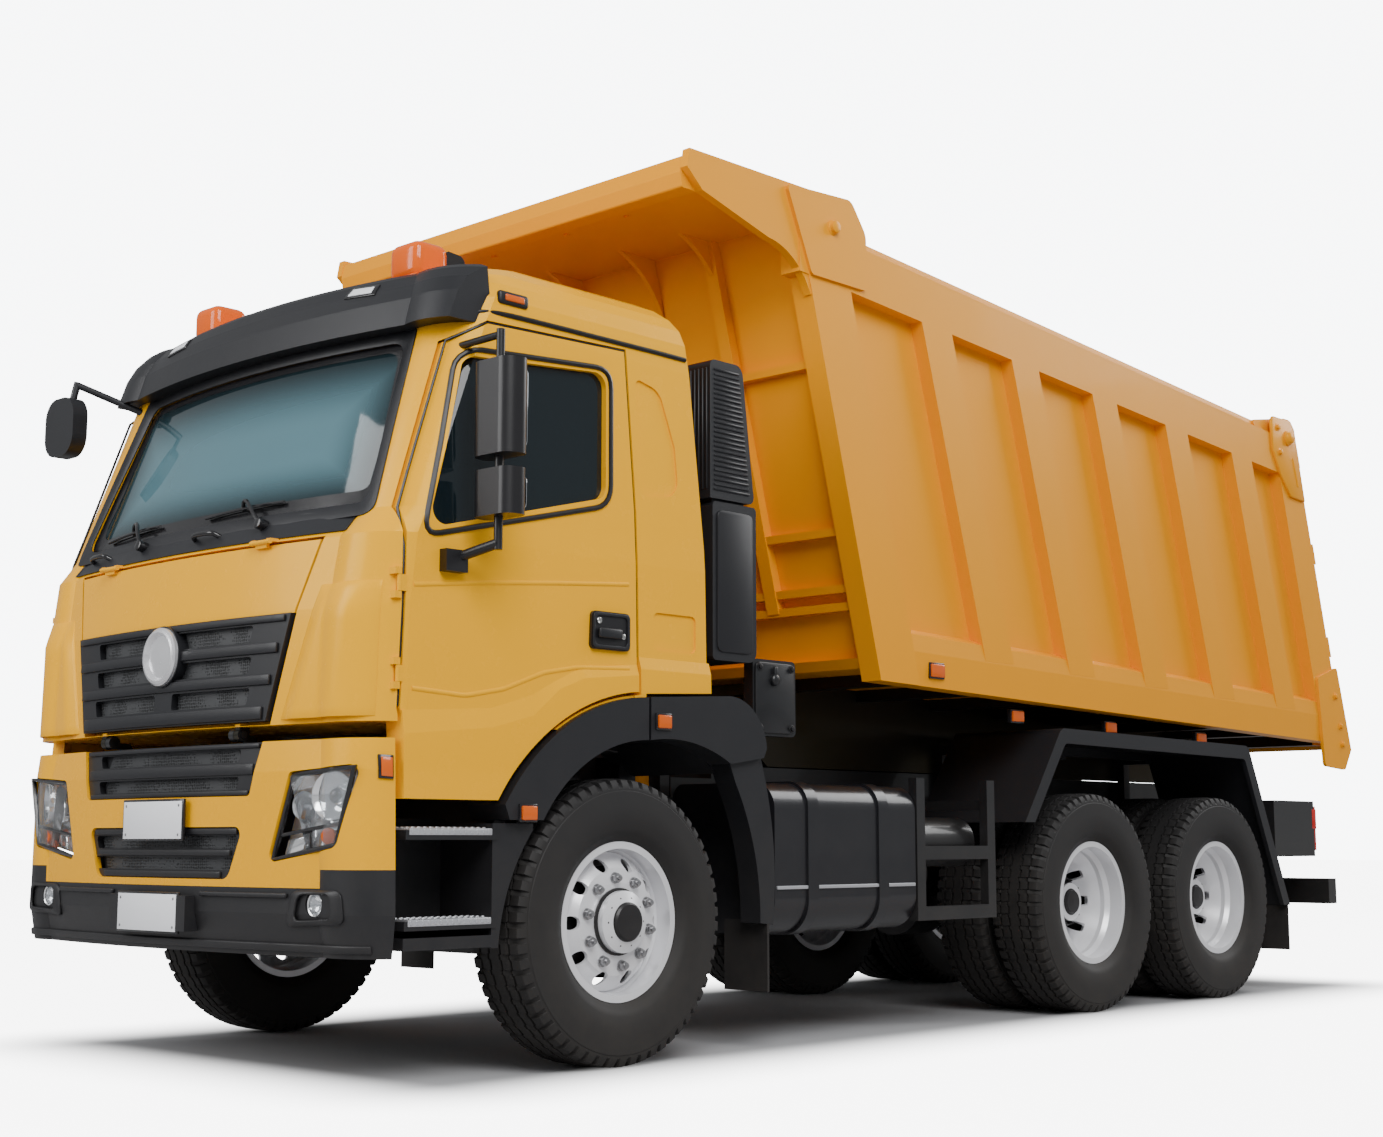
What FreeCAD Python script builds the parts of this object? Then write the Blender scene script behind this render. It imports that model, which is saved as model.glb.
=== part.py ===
import FreeCAD, Part
import math
import os

# Three-axle dump truck with a cab-over-engine cab and a rear-tipping bed.
# Millimetres. X runs forward, Y to the truck's left, Z up from the ground. The origin is on the
# ground below the middle of the truck. Stations along the truck are measured from the front axle.

V = FreeCAD.Vector
GAP = 0.3                 # face gap between pieces of different bodies that nearly touch
RUNNING = 0.3             # radial clearance of a shaft in its bore
SHUT = 12.0               # shut gap round a door or a flap

# Overall stance
WHEELBASE = 3360.0        # front axle to first rear axle
BOGIE_SPREAD = 1270.0     # first to second rear axle
FRONT_OVERHANG = 1335.0
REAR_OVERHANG = 1650.0
LENGTH = FRONT_OVERHANG + WHEELBASE + BOGIE_SPREAD + REAR_OVERHANG
AXLE_X = LENGTH / 2 - FRONT_OVERHANG
REAR_1 = -WHEELBASE
REAR_2 = REAR_1 - BOGIE_SPREAD
BOGIE = (REAR_1 + REAR_2) / 2

# Wheels
TYRE_R = 547.5
TYRE_W = 300.0
TYRE_OUT = 1215.0         # outer face of the outer tyres from the centre plane
TWIN_PITCH = 335.0
RIM_R = 305.0             # flange radius
RIM_WALL = 12.0
RIM_INSET = 38.0          # tyre's side face to the rim's edge
WELL_R = 262.0
DISC = 14.0
HUB_R = 118.0
STUB_R = 40.0
AXLE_TUBE_R = 70.0
AXLE_NOSE = 260.0         # rear axle's pinion flange ahead of the axle
REAR_STUB_R = 60.0
HAND_HOLES = 10
HAND_HOLE_R = 26.0

# Front axle
KINGPIN_Y = 930.0
KINGPIN_R = 25.0
EYE_R = 48.0
EYE_H = 110.0
YOKE = 30.0
BEAM_H = 110.0
BEAM_W = 90.0
BEAM_DROP = 95.0
SPRING_Y = 400.0
SPRING_W = 90.0
SPRING_HANGER_X = 760.0

# Ladder frame
RAIL_OUT = 425.0
RAIL_FLANGE = 80.0
RAIL_WEB = 10.0
RAIL_TOP = 1050.0
RAIL_H = 280.0
RAIL_FRONT = 1130.0
TAIL = -1825.0            # rear end of the rails from the bogie's middle
SUB_H = 150.0
SUB_W = 80.0
SUB_FRONT = -1330.0
DRAWBAR_SPACING = (160.0, 100.0)
DRAWBAR_HOLE_R = 10.5
DRAWBAR_Z = 910.0

# Cab
CAB_HALF = 1193.0
CAB_WALL = 60.0
CAB_BASE = 1268.0
CAB_REAR = -480.0
ROOF_TOP = 3095.0
CAB_PIVOT_X = 1250.0
CAB_PIVOT_Z = 1240.0
CAB_PIVOT_R = 14.0
CAB_EAR_R = 25.0
CAB_REST_X = -400.0
CAB_REST_Z = 1438.0       # top of the rear cab mount on the frame
PANEL_TOP = 1210.0        # upper edge of the fixed front panel, below the tilting cab
DOOR_THICK = 60.0
DOOR_HINGE_X = 1098.0
DOOR_HINGE_Y = 1180.0
DOOR_WRAP = 945.0         # inner end of the door where it wraps round the front pillar
DOOR_SWEEP = 300.0        # reach of the door's wrapped corner round its hinge
HINGE_PIN_R = 5.0
KNUCKLE_R = 9.0
FLAP_TOP = 1936.0
FLAP_HINGE = (1238.0, 1948.0)
FLAP_THICK = 35.0
FLAP_EDGE = 8.0           # thickness left at the flap's upper side edges
ARCH_FOOT = (628.0, 985.0)
ARCH_CROWN = (368.0, 1256.0)
ARCH_SPLIT = -112.0       # the arch trim parts here: front half on the cab, rear half on the frame
ARCH_SPLIT_Z = 1412.0
BAND_PROUD = 13.0         # height of the raised band over the wheel arch

# Bed
BED_HALF = 1210.0
BED_WALL = 40.0
FLOOR_PLATE = 45.0
RIB_DEEP = 70.0
RIB_WIDE = 235.0
RIB_PITCH = 728.0
RIB_COUNT = 5
BED_LEAN = math.tan(math.radians(15.2))
RIB_LEAN = math.tan(math.radians(16.5))
BED_LOW_FRONT = (-1605.0, 1567.0)
BED_LOW_REAR = (BOGIE - 2195.0, 1445.0)
BED_TOP_FRONT = 3568.0
BED_TOP_REAR = 3255.0
HINGE_X = BOGIE - 1755.0
HINGE_CLEAR = 95.0        # the bed's sills and the subframe's full height stop this far before the pin
HINGE_Z = 1170.0
HINGE_R = 35.0

# Hoist
HOIST_BASE_X = -1190.0
HOIST_BASE_Z = 950.0
HOIST_EYE_X = -1130.0
HOIST_EYE_Z = 2750.0
BARREL_R = 118.0


def at(x):
    """Absolute X of a station measured from the front axle."""
    return AXLE_X + x


def box(x0, x1, y0, y1, z0, z1):
    """Block between two stations; X is measured from the front axle."""
    low = V(at(min(x0, x1)), min(y0, y1), min(z0, z1))
    return Part.makeBox(abs(x1 - x0), abs(y1 - y0), abs(z1 - z0), low)


def rod(start, end, radius):
    """Round bar between two points whose X is measured from the front axle."""
    a = V(at(start[0]), start[1], start[2])
    b = V(at(end[0]), end[1], end[2])
    return Part.makeCylinder(radius, (b - a).Length, a, b - a)


def corner_points(points):
    """Corners (u, v) or (u, v, radius) as triples with a radius."""
    return [(p[0], p[1], p[2] if len(p) > 2 else 0.0) for p in points]


def outline_edges(points, place):
    """Closed outline of lines and tangent arcs; place maps (u, v) to a point in space."""
    corners = corner_points(points)
    count = len(corners)
    stops = []
    for i in range(count):
        u, v, radius = corners[i]
        here = V(u, v, 0)
        if radius <= 0:
            stops.append((here, None, here))
            continue
        before = V(corners[i - 1][0], corners[i - 1][1], 0) - here
        after = V(corners[(i + 1) % count][0], corners[(i + 1) % count][1], 0) - here
        before.normalize()
        after.normalize()
        half = before.getAngle(after) / 2
        reach = radius / math.tan(half)
        middle = before + after
        middle.normalize()
        middle = here + middle * (radius / math.sin(half) - radius)
        stops.append((here + before * reach, middle, here + after * reach))
    edges = []
    for i in range(count):
        first, middle, last = stops[i]
        if middle is not None:
            edges.append(Part.Arc(place(first), place(middle), place(last)).toShape())
        following = stops[(i + 1) % count][0]
        if (following - last).Length > 1e-6:
            edges.append(Part.LineSegment(place(last), place(following)).toShape())
    return edges


def side_face(points, y):
    """Face in the XZ plane from (x, z[, radius]) corners."""
    return Part.Face(Part.Wire(outline_edges(points, lambda p: V(at(p.x), y, p.y))))


def side_prism(points, y0, y1):
    return side_face(points, y0).extrude(V(0, y1 - y0, 0))


def plan_prism(points, z0, z1):
    """Prism from (x, y[, radius]) corners."""
    face = Part.Face(Part.Wire(outline_edges(points, lambda p: V(at(p.x), p.y, z0))))
    return face.extrude(V(0, 0, z1 - z0))


def cross_prism(points, x0, x1):
    """Prism from (y, z[, radius]) corners."""
    face = Part.Face(Part.Wire(outline_edges(points, lambda p: V(at(x0), p.x, p.y))))
    return face.extrude(V(x1 - x0, 0, 0))


def turned(points, x, y):
    """Revolved piece about the wheel axis at station x; points are (radius, offset from y)."""
    face = Part.Face(Part.Wire(outline_edges(points, lambda p: V(at(x) + p.x, y + p.y, TYRE_R))))
    return face.revolve(V(at(x), y, TYRE_R), V(0, 1, 0), 360)


def mirrored(shape):
    return shape.mirror(V(0, 0, 0), V(0, 1, 0))


def both(shape):
    """The piece and its twin on the truck's other side."""
    return [shape, mirrored(shape)]


def fuse(shapes):
    return shapes[0].multiFuse(shapes[1:]).removeSplitter()


def arch_prism(points, y0, y1):
    """Prism from an XZ outline whose steps may be ("arc", middle, end)."""
    def place(p):
        return V(at(p[0]), y0, p[1])
    edges = []
    here = points[0]
    for step in points[1:] + [points[0]]:
        if step[0] == "arc":
            middle, end = step[1], step[2]
            edges.append(Part.Arc(place(here), place(middle), place(end)).toShape())
            here = end
            continue
        if (place(step) - place(here)).Length > 1e-6:
            edges.append(Part.LineSegment(place(here), place(step)).toShape())
        here = step
    return Part.Face(Part.Wire(edges)).extrude(V(0, y1 - y0, 0))


# Wheels

def tyre(x, y):
    """Tubeless tyre centred on the wheel plane y, seated between the rim's flanges."""
    half = TYRE_W / 2
    tread = half - 28
    flange = half - RIM_INSET
    seat = RIM_R - 15 + GAP
    return turned([(seat, 21 - flange), (seat, flange - 21), (RIM_R + GAP, flange - 15), (RIM_R + GAP,
                                                                                          flange),
                   (RIM_R + 95, half), (TYRE_R - 50, half - 8), (TYRE_R - 6, tread), (TYRE_R, tread - 30),
                   (TYRE_R, 30 - tread), (TYRE_R - 6, -tread), (TYRE_R - 50, 8 - half), (RIM_R + 95, -half),
                   (RIM_R + GAP, -flange), (RIM_R + GAP, 15 - flange)], x, y)


def rim_ring(half):
    """Outline of the rim's drop-centre ring."""
    bead = RIM_R - 15
    return [(RIM_R, half), (RIM_R, half - 14), (bead, half - 20), (bead, half - 70),
            (WELL_R + RIM_WALL, half - 95), (WELL_R + RIM_WALL, 70 - half), (bead, 60 - half),
            (bead, 20 - half), (RIM_R, 14 - half), (RIM_R, -half),
            (bead - RIM_WALL, -half), (bead - RIM_WALL, 60 - half), (WELL_R, 72 - half),
            (WELL_R, half - 95), (bead - RIM_WALL, half - 72), (bead - RIM_WALL, half)]


def hand_holes(shape, x, y, circle, radius, count):
    """Cuts a circle of holes through a wheel disc."""
    tool = Part.makeCylinder(radius, 200, V(at(x) + circle, y - 100, TYRE_R), V(0, 1, 0))
    tools = []
    for i in range(count):
        copy = tool.copy()
        copy.rotate(V(at(x), y, TYRE_R), V(0, 1, 0), 360.0 * i / count)
        tools.append(copy)
    return shape.cut(tools)


def front_rim(y):
    """Single front wheel: the disc bulges outwards and carries the hub."""
    half = TYRE_W / 2 - RIM_INSET
    ring = turned(rim_ring(half), 0, y)
    face = half - 16
    disc = turned([(WELL_R + 2, 20), (WELL_R + 2, 20 + DISC), (205, face), (150, face + 6),
                   (HUB_R, face + 6), (HUB_R, face + 42), (70, face + 60), (0.0, face + 60),
                   (0.0, 52), (STUB_R + RUNNING, 52), (STUB_R + RUNNING, -34), (95, -34),
                   (95, face - 12), (200, face - DISC)], 0, y)
    disc = hand_holes(disc, 0, y, 222, HAND_HOLE_R, HAND_HOLES)
    return fuse([ring, disc])


def rear_rims(x):
    """Twin rear wheels with their discs back to back, and the hub that joins them."""
    half = TYRE_W / 2 - 38
    outer_y = TYRE_OUT - TYRE_W / 2
    inner_y = outer_y - TWIN_PITCH
    middle = (outer_y + inner_y) / 2
    outer = turned(rim_ring(half), x, outer_y)
    inner = turned(rim_ring(half), x, inner_y)
    reach = outer_y - half + 95 - middle
    bore = REAR_STUB_R + RUNNING
    disc = turned([(WELL_R + 2, reach), (WELL_R + 2, reach + DISC), (200, DISC), (HUB_R + 10, DISC),
                   (HUB_R + 10, 95), (95, 110), (95, 150), (0.0, 150), (0.0, 75), (bore, 75),
                   (bore, -200), (HUB_R, -200), (HUB_R, -DISC), (200, -DISC),
                   (WELL_R + 2, -reach - DISC), (WELL_R + 2, -reach), (215, 0)], x, middle)
    disc = hand_holes(disc, x, middle, 222, HAND_HOLE_R, HAND_HOLES)
    return fuse([outer, inner, disc])


# Front axle

def front_axle():
    """Dropped beam with kingpin eyes, and the leaf springs seated on it."""
    low = TYRE_R - BEAM_DROP - BEAM_H / 2
    high = TYRE_R - BEAM_H / 2
    pad = 520
    end = KINGPIN_Y - EYE_R + 14
    beam = cross_prism([(-end, high), (-pad - 130, high), (-pad, low), (pad, low),
                        (pad + 130, high), (end, high), (end, high + BEAM_H),
                        (pad + 170, high + BEAM_H), (pad + 20, low + BEAM_H),
                        (-pad - 20, low + BEAM_H), (-pad - 170, high + BEAM_H),
                        (-end, high + BEAM_H)], -BEAM_W / 2, BEAM_W / 2)
    low_eye = TYRE_R - EYE_H / 2
    eyes = []
    bores = []
    springs = []
    seat = low + BEAM_H
    for side in (-1, 1):
        y = side * KINGPIN_Y
        eyes.append(Part.makeCylinder(EYE_R, EYE_H, V(AXLE_X, y, low_eye)))
        bores.append(Part.makeCylinder(KINGPIN_R + RUNNING, EYE_H, V(AXLE_X, y, low_eye)))
        y0 = side * SPRING_Y - SPRING_W / 2
        springs.append(leaf_pack(seat, y0))
    return fuse([beam] + eyes + springs).cut(bores)


def leaf_pack(seat, y0):
    """Half-elliptic leaf spring: main leaf, helper leaves and the seat on the beam."""
    reach = SPRING_HANGER_X - 45 - GAP
    rise = RAIL_TOP - RAIL_H - 15 - seat - 70
    main = arch_prism([(-reach, seat + 50 + rise), ("arc", (0, seat + 50), (reach, seat + 50 + rise)),
                       (reach, seat + 70 + rise), ("arc", (0, seat + 70), (-reach, seat + 70 + rise))],
                      y0, y0 + SPRING_W)
    short = reach * 0.55
    lift = rise * 0.3
    helper = arch_prism([(-short, seat + 25 + lift), ("arc", (0, seat), (short, seat + 25 + lift)),
                         (short, seat + 50 + lift), ("arc", (0, seat + 52), (-short, seat + 50 + lift))],
                        y0, y0 + SPRING_W)
    pad = box(-90, 90, y0, y0 + SPRING_W, seat - 10, seat + 85)
    return fuse([main, helper, pad])


def knuckle():
    """Left steering knuckle: yoke, kingpin, upright and stub axle."""
    low = TYRE_R - EYE_H / 2
    high = TYRE_R + EYE_H / 2
    play = 3.0
    upright_y = KINGPIN_Y + EYE_R + 8
    lower = Part.makeCylinder(EYE_R, YOKE, V(AXLE_X, KINGPIN_Y, low - play - YOKE))
    upper = Part.makeCylinder(EYE_R, YOKE, V(AXLE_X, KINGPIN_Y, high + play))
    lower_arm = box(-EYE_R, EYE_R, KINGPIN_Y, upright_y + 10, low - play - YOKE, low - play)
    upper_arm = box(-EYE_R, EYE_R, KINGPIN_Y, upright_y + 10, high + play, high + play + YOKE)
    upright = box(-75, 75, upright_y, upright_y + 22, low - play - YOKE, high + play + YOKE)
    pin = Part.makeCylinder(KINGPIN_R, EYE_H + 2 * (play + YOKE), V(AXLE_X, KINGPIN_Y, low - play - YOKE))
    wheel_y = TYRE_OUT - TYRE_W / 2
    stub = rod((0, upright_y, TYRE_R), (0, wheel_y + 40, TYRE_R), STUB_R)
    arm = box(-200, -40, KINGPIN_Y - 18, KINGPIN_Y + 18, low - play - YOKE, low - play)
    return fuse([lower, upper, lower_arm, upper_arm, upright, pin, stub, arm])


# Chassis

def rail_section(z0, z1, side):
    """Channel rail outline, open towards the centre plane."""
    out = RAIL_OUT
    inner = RAIL_OUT - RAIL_FLANGE
    points = [(out, z0), (out, z1), (inner, z1), (inner, z1 - RAIL_WEB), (out - RAIL_WEB, z1 - RAIL_WEB),
              (out - RAIL_WEB, z0 + RAIL_WEB), (inner, z0 + RAIL_WEB), (inner, z0)]
    return [(side * p[0], p[1]) for p in points]


def drawbar_beam():
    """Rear cross member with the four holes for a drawbar coupling."""
    rear = BOGIE + TAIL
    inner = RAIL_OUT - RAIL_WEB
    beam = box(rear - 10, rear + 20, -RAIL_OUT, RAIL_OUT, DRAWBAR_Z - 110, DRAWBAR_Z + 110)
    web = box(rear, rear + 60, -inner, inner, DRAWBAR_Z - 110, DRAWBAR_Z - 90)
    holes = []
    for y in (-0.5, 0.5):
        for z in (-0.5, 0.5):
            spot = (y * DRAWBAR_SPACING[0], DRAWBAR_Z + z * DRAWBAR_SPACING[1])
            holes.append(rod((rear - 20, spot[0], spot[1]), (rear + 30, spot[0], spot[1]), DRAWBAR_HOLE_R))
    return beam.fuse(web).cut(holes)


def chassis_frame():
    """Ladder frame with its cross members, spring hangers and the cab's mounts."""
    low = RAIL_TOP - RAIL_H
    rear = BOGIE + TAIL
    inner = RAIL_OUT - RAIL_WEB
    px = CAB_PIVOT_X
    pz = CAB_PIVOT_Z
    r = CAB_EAR_R
    pieces = []
    for side in (-1, 1):
        pieces.append(cross_prism(rail_section(low, RAIL_TOP, side), rear, RAIL_FRONT))
        web = side * inner
        pieces.append(side_prism([(RAIL_FRONT - 220, low + 60), (RAIL_FRONT, low + 60), (RAIL_FRONT, 1040),
                                  (px - 55, 1130), (px - 40, pz - r + 1), (px, pz - r + 1), (px, pz),
                                  (px - 70, pz), (RAIL_FRONT - 60, RAIL_TOP - 30)],
                                 web, web + side * 30))
        pieces.append(rod((px, web, pz), (px, web + side * 30, pz), r))
        pieces.append(rod((px, web, pz), (px, web + side * 66, pz), CAB_PIVOT_R))
        for x in (SPRING_HANGER_X, -SPRING_HANGER_X):
            y = side * SPRING_Y
            pieces.append(box(x - 45, x + 45, y - SPRING_W / 2, y + SPRING_W / 2, low - 70, low + 15))
        post = side * (RAIL_OUT + 60)
        pieces.append(box(CAB_REST_X - 40, CAB_REST_X + 40, web, post, RAIL_TOP - 120, CAB_REST_Z - GAP))
    pieces.append(drawbar_beam())
    for x in (RAIL_FRONT - 60, -980, -1500, -2500, BOGIE, REAR_2 - 560):
        pieces.append(box(x - 50, x + 50, -inner, inner, low + 100, RAIL_TOP - 30))
    pieces.append(box(CAB_REST_X - 40, CAB_REST_X + 40, -inner, inner, CAB_REST_Z - 90, CAB_REST_Z - 20))
    return fuse(pieces)


def subframe():
    """Tipping subframe on the rails, with the rear hinge pin and the hoist cradle."""
    rear = HINGE_X - 70
    top = RAIL_TOP + SUB_H
    hx = HOIST_BASE_X
    pieces = []
    for side in (-1, 1):
        out = side * RAIL_OUT
        pieces.append(box(HINGE_X + HINGE_CLEAR, SUB_FRONT, out - side * SUB_W, out, RAIL_TOP, top))
        pieces.append(box(rear, HINGE_X + HINGE_CLEAR, out - side * SUB_W, out, RAIL_TOP, HINGE_Z - 40))
        pieces.append(rod((HINGE_X, out - side * SUB_W, HINGE_Z), (HINGE_X, out, HINGE_Z), HINGE_R + 18))
        pieces.append(box(HINGE_X - 55, HINGE_X + 55, out - side * SUB_W, out, HINGE_Z - 45, HINGE_Z))
        pieces.append(box(SUB_FRONT, hx + 130, out - side * SUB_W, out, RAIL_TOP, top - 60))
        cheek = side * (BARREL_R + 50)
        pieces.append(side_prism([(hx - 60, HOIST_BASE_Z - 60, 40), (hx + 60, HOIST_BASE_Z - 60, 40),
                                  (hx + 120, RAIL_TOP + 30), (hx - 120, RAIL_TOP + 30)],
                                 cheek, cheek + side * 25))
        pieces.append(box(hx - 120, hx + 120, cheek, side * (RAIL_OUT - SUB_W + 5),
                          RAIL_TOP, RAIL_TOP + 30))
    for x in (SUB_FRONT - 200, -2300, -3300, -4500, HINGE_X + 220):
        pieces.append(box(x - 40, x + 40, -RAIL_OUT + 20, RAIL_OUT - 20, RAIL_TOP + 20, top - 20))
    pin = rod((HINGE_X, -RAIL_OUT - 75, HINGE_Z), (HINGE_X, RAIL_OUT + 75, HINGE_Z), HINGE_R)
    trunnion = rod((hx, -BARREL_R - 55, HOIST_BASE_Z), (hx, BARREL_R + 55, HOIST_BASE_Z), 30)
    return fuse(pieces + [pin, trunnion])


def rear_axles():
    """Two banjo axles with their stubs."""
    stub_end = TYRE_OUT - TYRE_W / 2 - TWIN_PITCH / 2 + 70
    pieces = []
    for x in (REAR_1, REAR_2):
        tube = rod((x, -560, TYRE_R), (x, 560, TYRE_R), AXLE_TUBE_R)
        stub = rod((x, -stub_end, TYRE_R), (x, stub_end, TYRE_R), REAR_STUB_R)
        banjo = rod((x - 120, 0, TYRE_R + 10), (x + 130, 0, TYRE_R + 10), 205)
        nose = rod((x + 130, 0, TYRE_R + 20), (x + AXLE_NOSE, 0, TYRE_R + 20), 95)
        pieces.append(fuse([tube, stub, banjo, nose]))
    return pieces


def rear_suspension():
    """Inverted leaf packs that rock on the bogie trunnion and rest on the axle tubes."""
    y0 = RAIL_OUT + 5
    width = 90
    seat = TYRE_R + AXLE_TUBE_R
    reach = BOGIE_SPREAD / 2 + 70
    flat = reach - 140
    thick = 28
    top = seat + 85
    pieces = []
    for side in (-1, 1):
        a = side * y0
        b = side * (y0 + width)
        leaf = arch_prism([(BOGIE - reach, seat), (BOGIE - flat, seat),
                           ("arc", (BOGIE, top), (BOGIE + flat, seat)), (BOGIE + reach, seat),
                           (BOGIE + reach, seat + thick), (BOGIE + flat, seat + thick),
                           ("arc", (BOGIE, top + 75), (BOGIE - flat, seat + thick)),
                           (BOGIE - reach, seat + thick)], min(a, b), max(a, b))
        saddle = side_prism([(BOGIE - 130, top + 40), (BOGIE + 130, top + 40), (BOGIE + 180, RAIL_TOP - 60),
                             (BOGIE - 180, RAIL_TOP - 60)], side * RAIL_OUT, b)
        pieces.append(fuse([leaf, saddle]))
    return pieces


def driveline():
    """Engine with gearbox as one plain block, and the two propeller shafts."""
    block = box(930, -420, -320, 320, 690, 1170)
    gearbox = box(-420, -900, -210, 210, 690, 960)
    nose = REAR_1 + AXLE_NOSE
    front = rod((-900, 0, 820), (nose - 40, 0, TYRE_R + 25), 48)
    front = front.cut(box(nose - 200, nose + GAP, -100, 100, 400, 800))
    rear = rod((REAR_1 - 120 - GAP, 0, TYRE_R + 15), (REAR_2 + AXLE_NOSE + GAP, 0, TYRE_R + 15), 44)
    return [fuse([block, gearbox, front]), rear]


TANK_X0 = -905.0
TANK_X1 = -1878.0
TANK_LOW = 465.0
TANK_HIGH = 1100.0
TANK_IN = 590.0
TANK_OUT = 1180.0


def tank_section(grow):
    """Rounded tank outline in the YZ plane."""
    return [(TANK_IN - grow, TANK_LOW - grow, 60), (TANK_OUT + grow, TANK_LOW - grow, 150),
            (TANK_OUT + grow, TANK_HIGH + grow, 110), (TANK_IN - grow, TANK_HIGH + grow, 60)]


def fuel_tank():
    """Tank on the left side with two straps and its brackets to the rail."""
    body = cross_prism(tank_section(0), TANK_X1, TANK_X0)
    length = TANK_X0 - TANK_X1
    pieces = [body]
    for share in (0.25, 0.75):
        x = TANK_X1 + length * share
        pieces.append(cross_prism(tank_section(9), x - 35, x + 35))
        pieces.append(box(x - 40, x + 40, RAIL_OUT, TANK_IN + 5, 640, 960))
    return fuse(pieces)


def side_equipment():
    """Air tanks and valve box on the left, battery box and silencer on the right."""
    air = rod((-1960, 1000, 850), (-2430, 1000, 850), 115)
    air_bracket = box(-2240, -2150, RAIL_OUT, 1000, 800, 890)
    second = rod((-1960, 720, 700), (-2430, 720, 700), 115)
    second_bracket = box(-2100, -2020, RAIL_OUT, 720, 770, 860)
    valve = side_prism([(-1116, 1296, 25), (-839, 1296, 25), (-839, 1621, 25), (-1116, 1621, 25)], 1070, 1120)
    valve_arm = box(-1010, -950, RAIL_OUT, 1080, 1310, 1350)
    valve_post = box(-1010, -950, RAIL_OUT, RAIL_OUT + 40, 900, 1350)
    battery = box(-905, -1500, -1170, -600, 560, 1080)
    battery_arm = box(-1300, -1100, -610, -RAIL_OUT, 780, 900)
    silencer = rod((-1600, -880, 760), (-2330, -880, 760), 190)
    silencer_arm = box(-2000, -1930, -880, -RAIL_OUT, 790, 870)
    return [fuse([air, air_bracket]), fuse([second, second_bracket]), fuse([valve, valve_arm, valve_post]),
            fuse([battery, battery_arm]), fuse([silencer, silencer_arm])]


def side_guards():
    """Ladder-like guard between the tank and the rear wheels, on both sides."""
    front = -1885.0
    back = -2500.0
    y0 = 1140.0
    y1 = 1185.0
    rails = [box(back, front, y0, y1, z, z + 62) for z in (497, 770)]
    posts = [box(x, x + 62, y0, y1, 497, 1140) for x in (back, front - 62)]
    arms = [box(back + 8, back + 54, RAIL_OUT, y0 + 5, 1000, 1045),
            box(front - 58, front - 12, RAIL_OUT, y0 + 5, 1000, 1045)]
    return both(fuse(rails + posts + arms))


# Cab form

# Height, nose x on the centre line, front corner (x, y), where the side begins, half width, rear x
CAB_RINGS = [
    (450.0, 1268.0, 1200.0, 930.0, 1070.0, 1205.0, CAB_REAR),
    (600.0, 1300.0, 1228.0, 930.0, 1085.0, 1210.0, CAB_REAR),
    (1100.0, 1300.0, 1232.0, 930.0, 1085.0, CAB_HALF, CAB_REAR),
    (1268.0, 1288.0, 1216.0, 905.0, 1070.0, CAB_HALF, CAB_REAR),
    (1680.0, 1275.0, 1200.0, 905.0, 1060.0, CAB_HALF, CAB_REAR + 10),
    (1940.0, 1245.0, 1165.0, 920.0, 1030.0, CAB_HALF, CAB_REAR + 15),
    (2040.0, 1165.0, 1085.0, 925.0, 985.0, CAB_HALF - 4, CAB_REAR + 18),
    (2760.0, 925.0, 830.0, 885.0, 715.0, CAB_HALF - 22, CAB_REAR + 88),
    (2880.0, 890.0, 795.0, 880.0, 660.0, CAB_HALF - 30, CAB_REAR + 104),
    (2942.0, 862.0, 766.0, 860.0, 622.0, CAB_HALF - 46, CAB_REAR + 122),
    (2990.0, 830.0, 730.0, 830.0, 570.0, CAB_HALF - 78, CAB_REAR + 150),
    (3030.0, 782.0, 678.0, 776.0, 508.0, CAB_HALF - 126, CAB_REAR + 192),
    (3060.0, 720.0, 610.0, 700.0, 430.0, CAB_HALF - 190, CAB_REAR + 250),
    (3081.0, 635.0, 520.0, 610.0, 340.0, CAB_HALF - 285, CAB_REAR + 330),
    (ROOF_TOP, 520.0, 400.0, 500.0, 230.0, CAB_HALF - 420, CAB_REAR + 440),
]


def ring_wire(ring, inset):
    """One plan section of the cab: front arc, two corner arcs, sides and back."""
    z, nose, corner_x, corner_y, side_x, half, rear = ring
    nose -= inset
    corner_x -= inset
    corner_y -= inset * 0.6
    side_x -= inset * 0.6
    half -= inset
    rear += inset
    bulge = 0.27
    mid_x = corner_x - bulge * (corner_x - side_x)
    mid_y = half - bulge * (half - corner_y)

    def point(x, y):
        return V(at(x), y, z)
    return Part.Wire([
        Part.LineSegment(point(rear, -half), point(side_x, -half)).toShape(),
        Part.Arc(point(side_x, -half), point(mid_x, -mid_y), point(corner_x, -corner_y)).toShape(),
        Part.Arc(point(corner_x, -corner_y), point(nose, 0), point(corner_x, corner_y)).toShape(),
        Part.Arc(point(corner_x, corner_y), point(mid_x, mid_y), point(side_x, half)).toShape(),
        Part.LineSegment(point(side_x, half), point(rear, half)).toShape(),
        Part.LineSegment(point(rear, half), point(rear, -half)).toShape()])


def cab_form(z0, z1, inset):
    """Solid of the cab's outer form, moved inwards by inset, between two heights."""
    first = max(i for i, ring in enumerate(CAB_RINGS) if i == 0 or ring[0] <= z0)
    last = min(i for i, ring in enumerate(CAB_RINGS) if i == len(CAB_RINGS) - 1 or ring[0] >= z1)
    rings = CAB_RINGS[first:last + 1]
    form = Part.makeLoft([ring_wire(ring, inset) for ring in rings], True, True)
    return form.common(box(-1000, 2000, -1500, 1500, z0, z1))


MIRROR_X = 800.0
MIRROR_X_RIGHT = 640.0
DOOR_TOP = 2790.0
DOOR_EDGE = 1088.0


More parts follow.
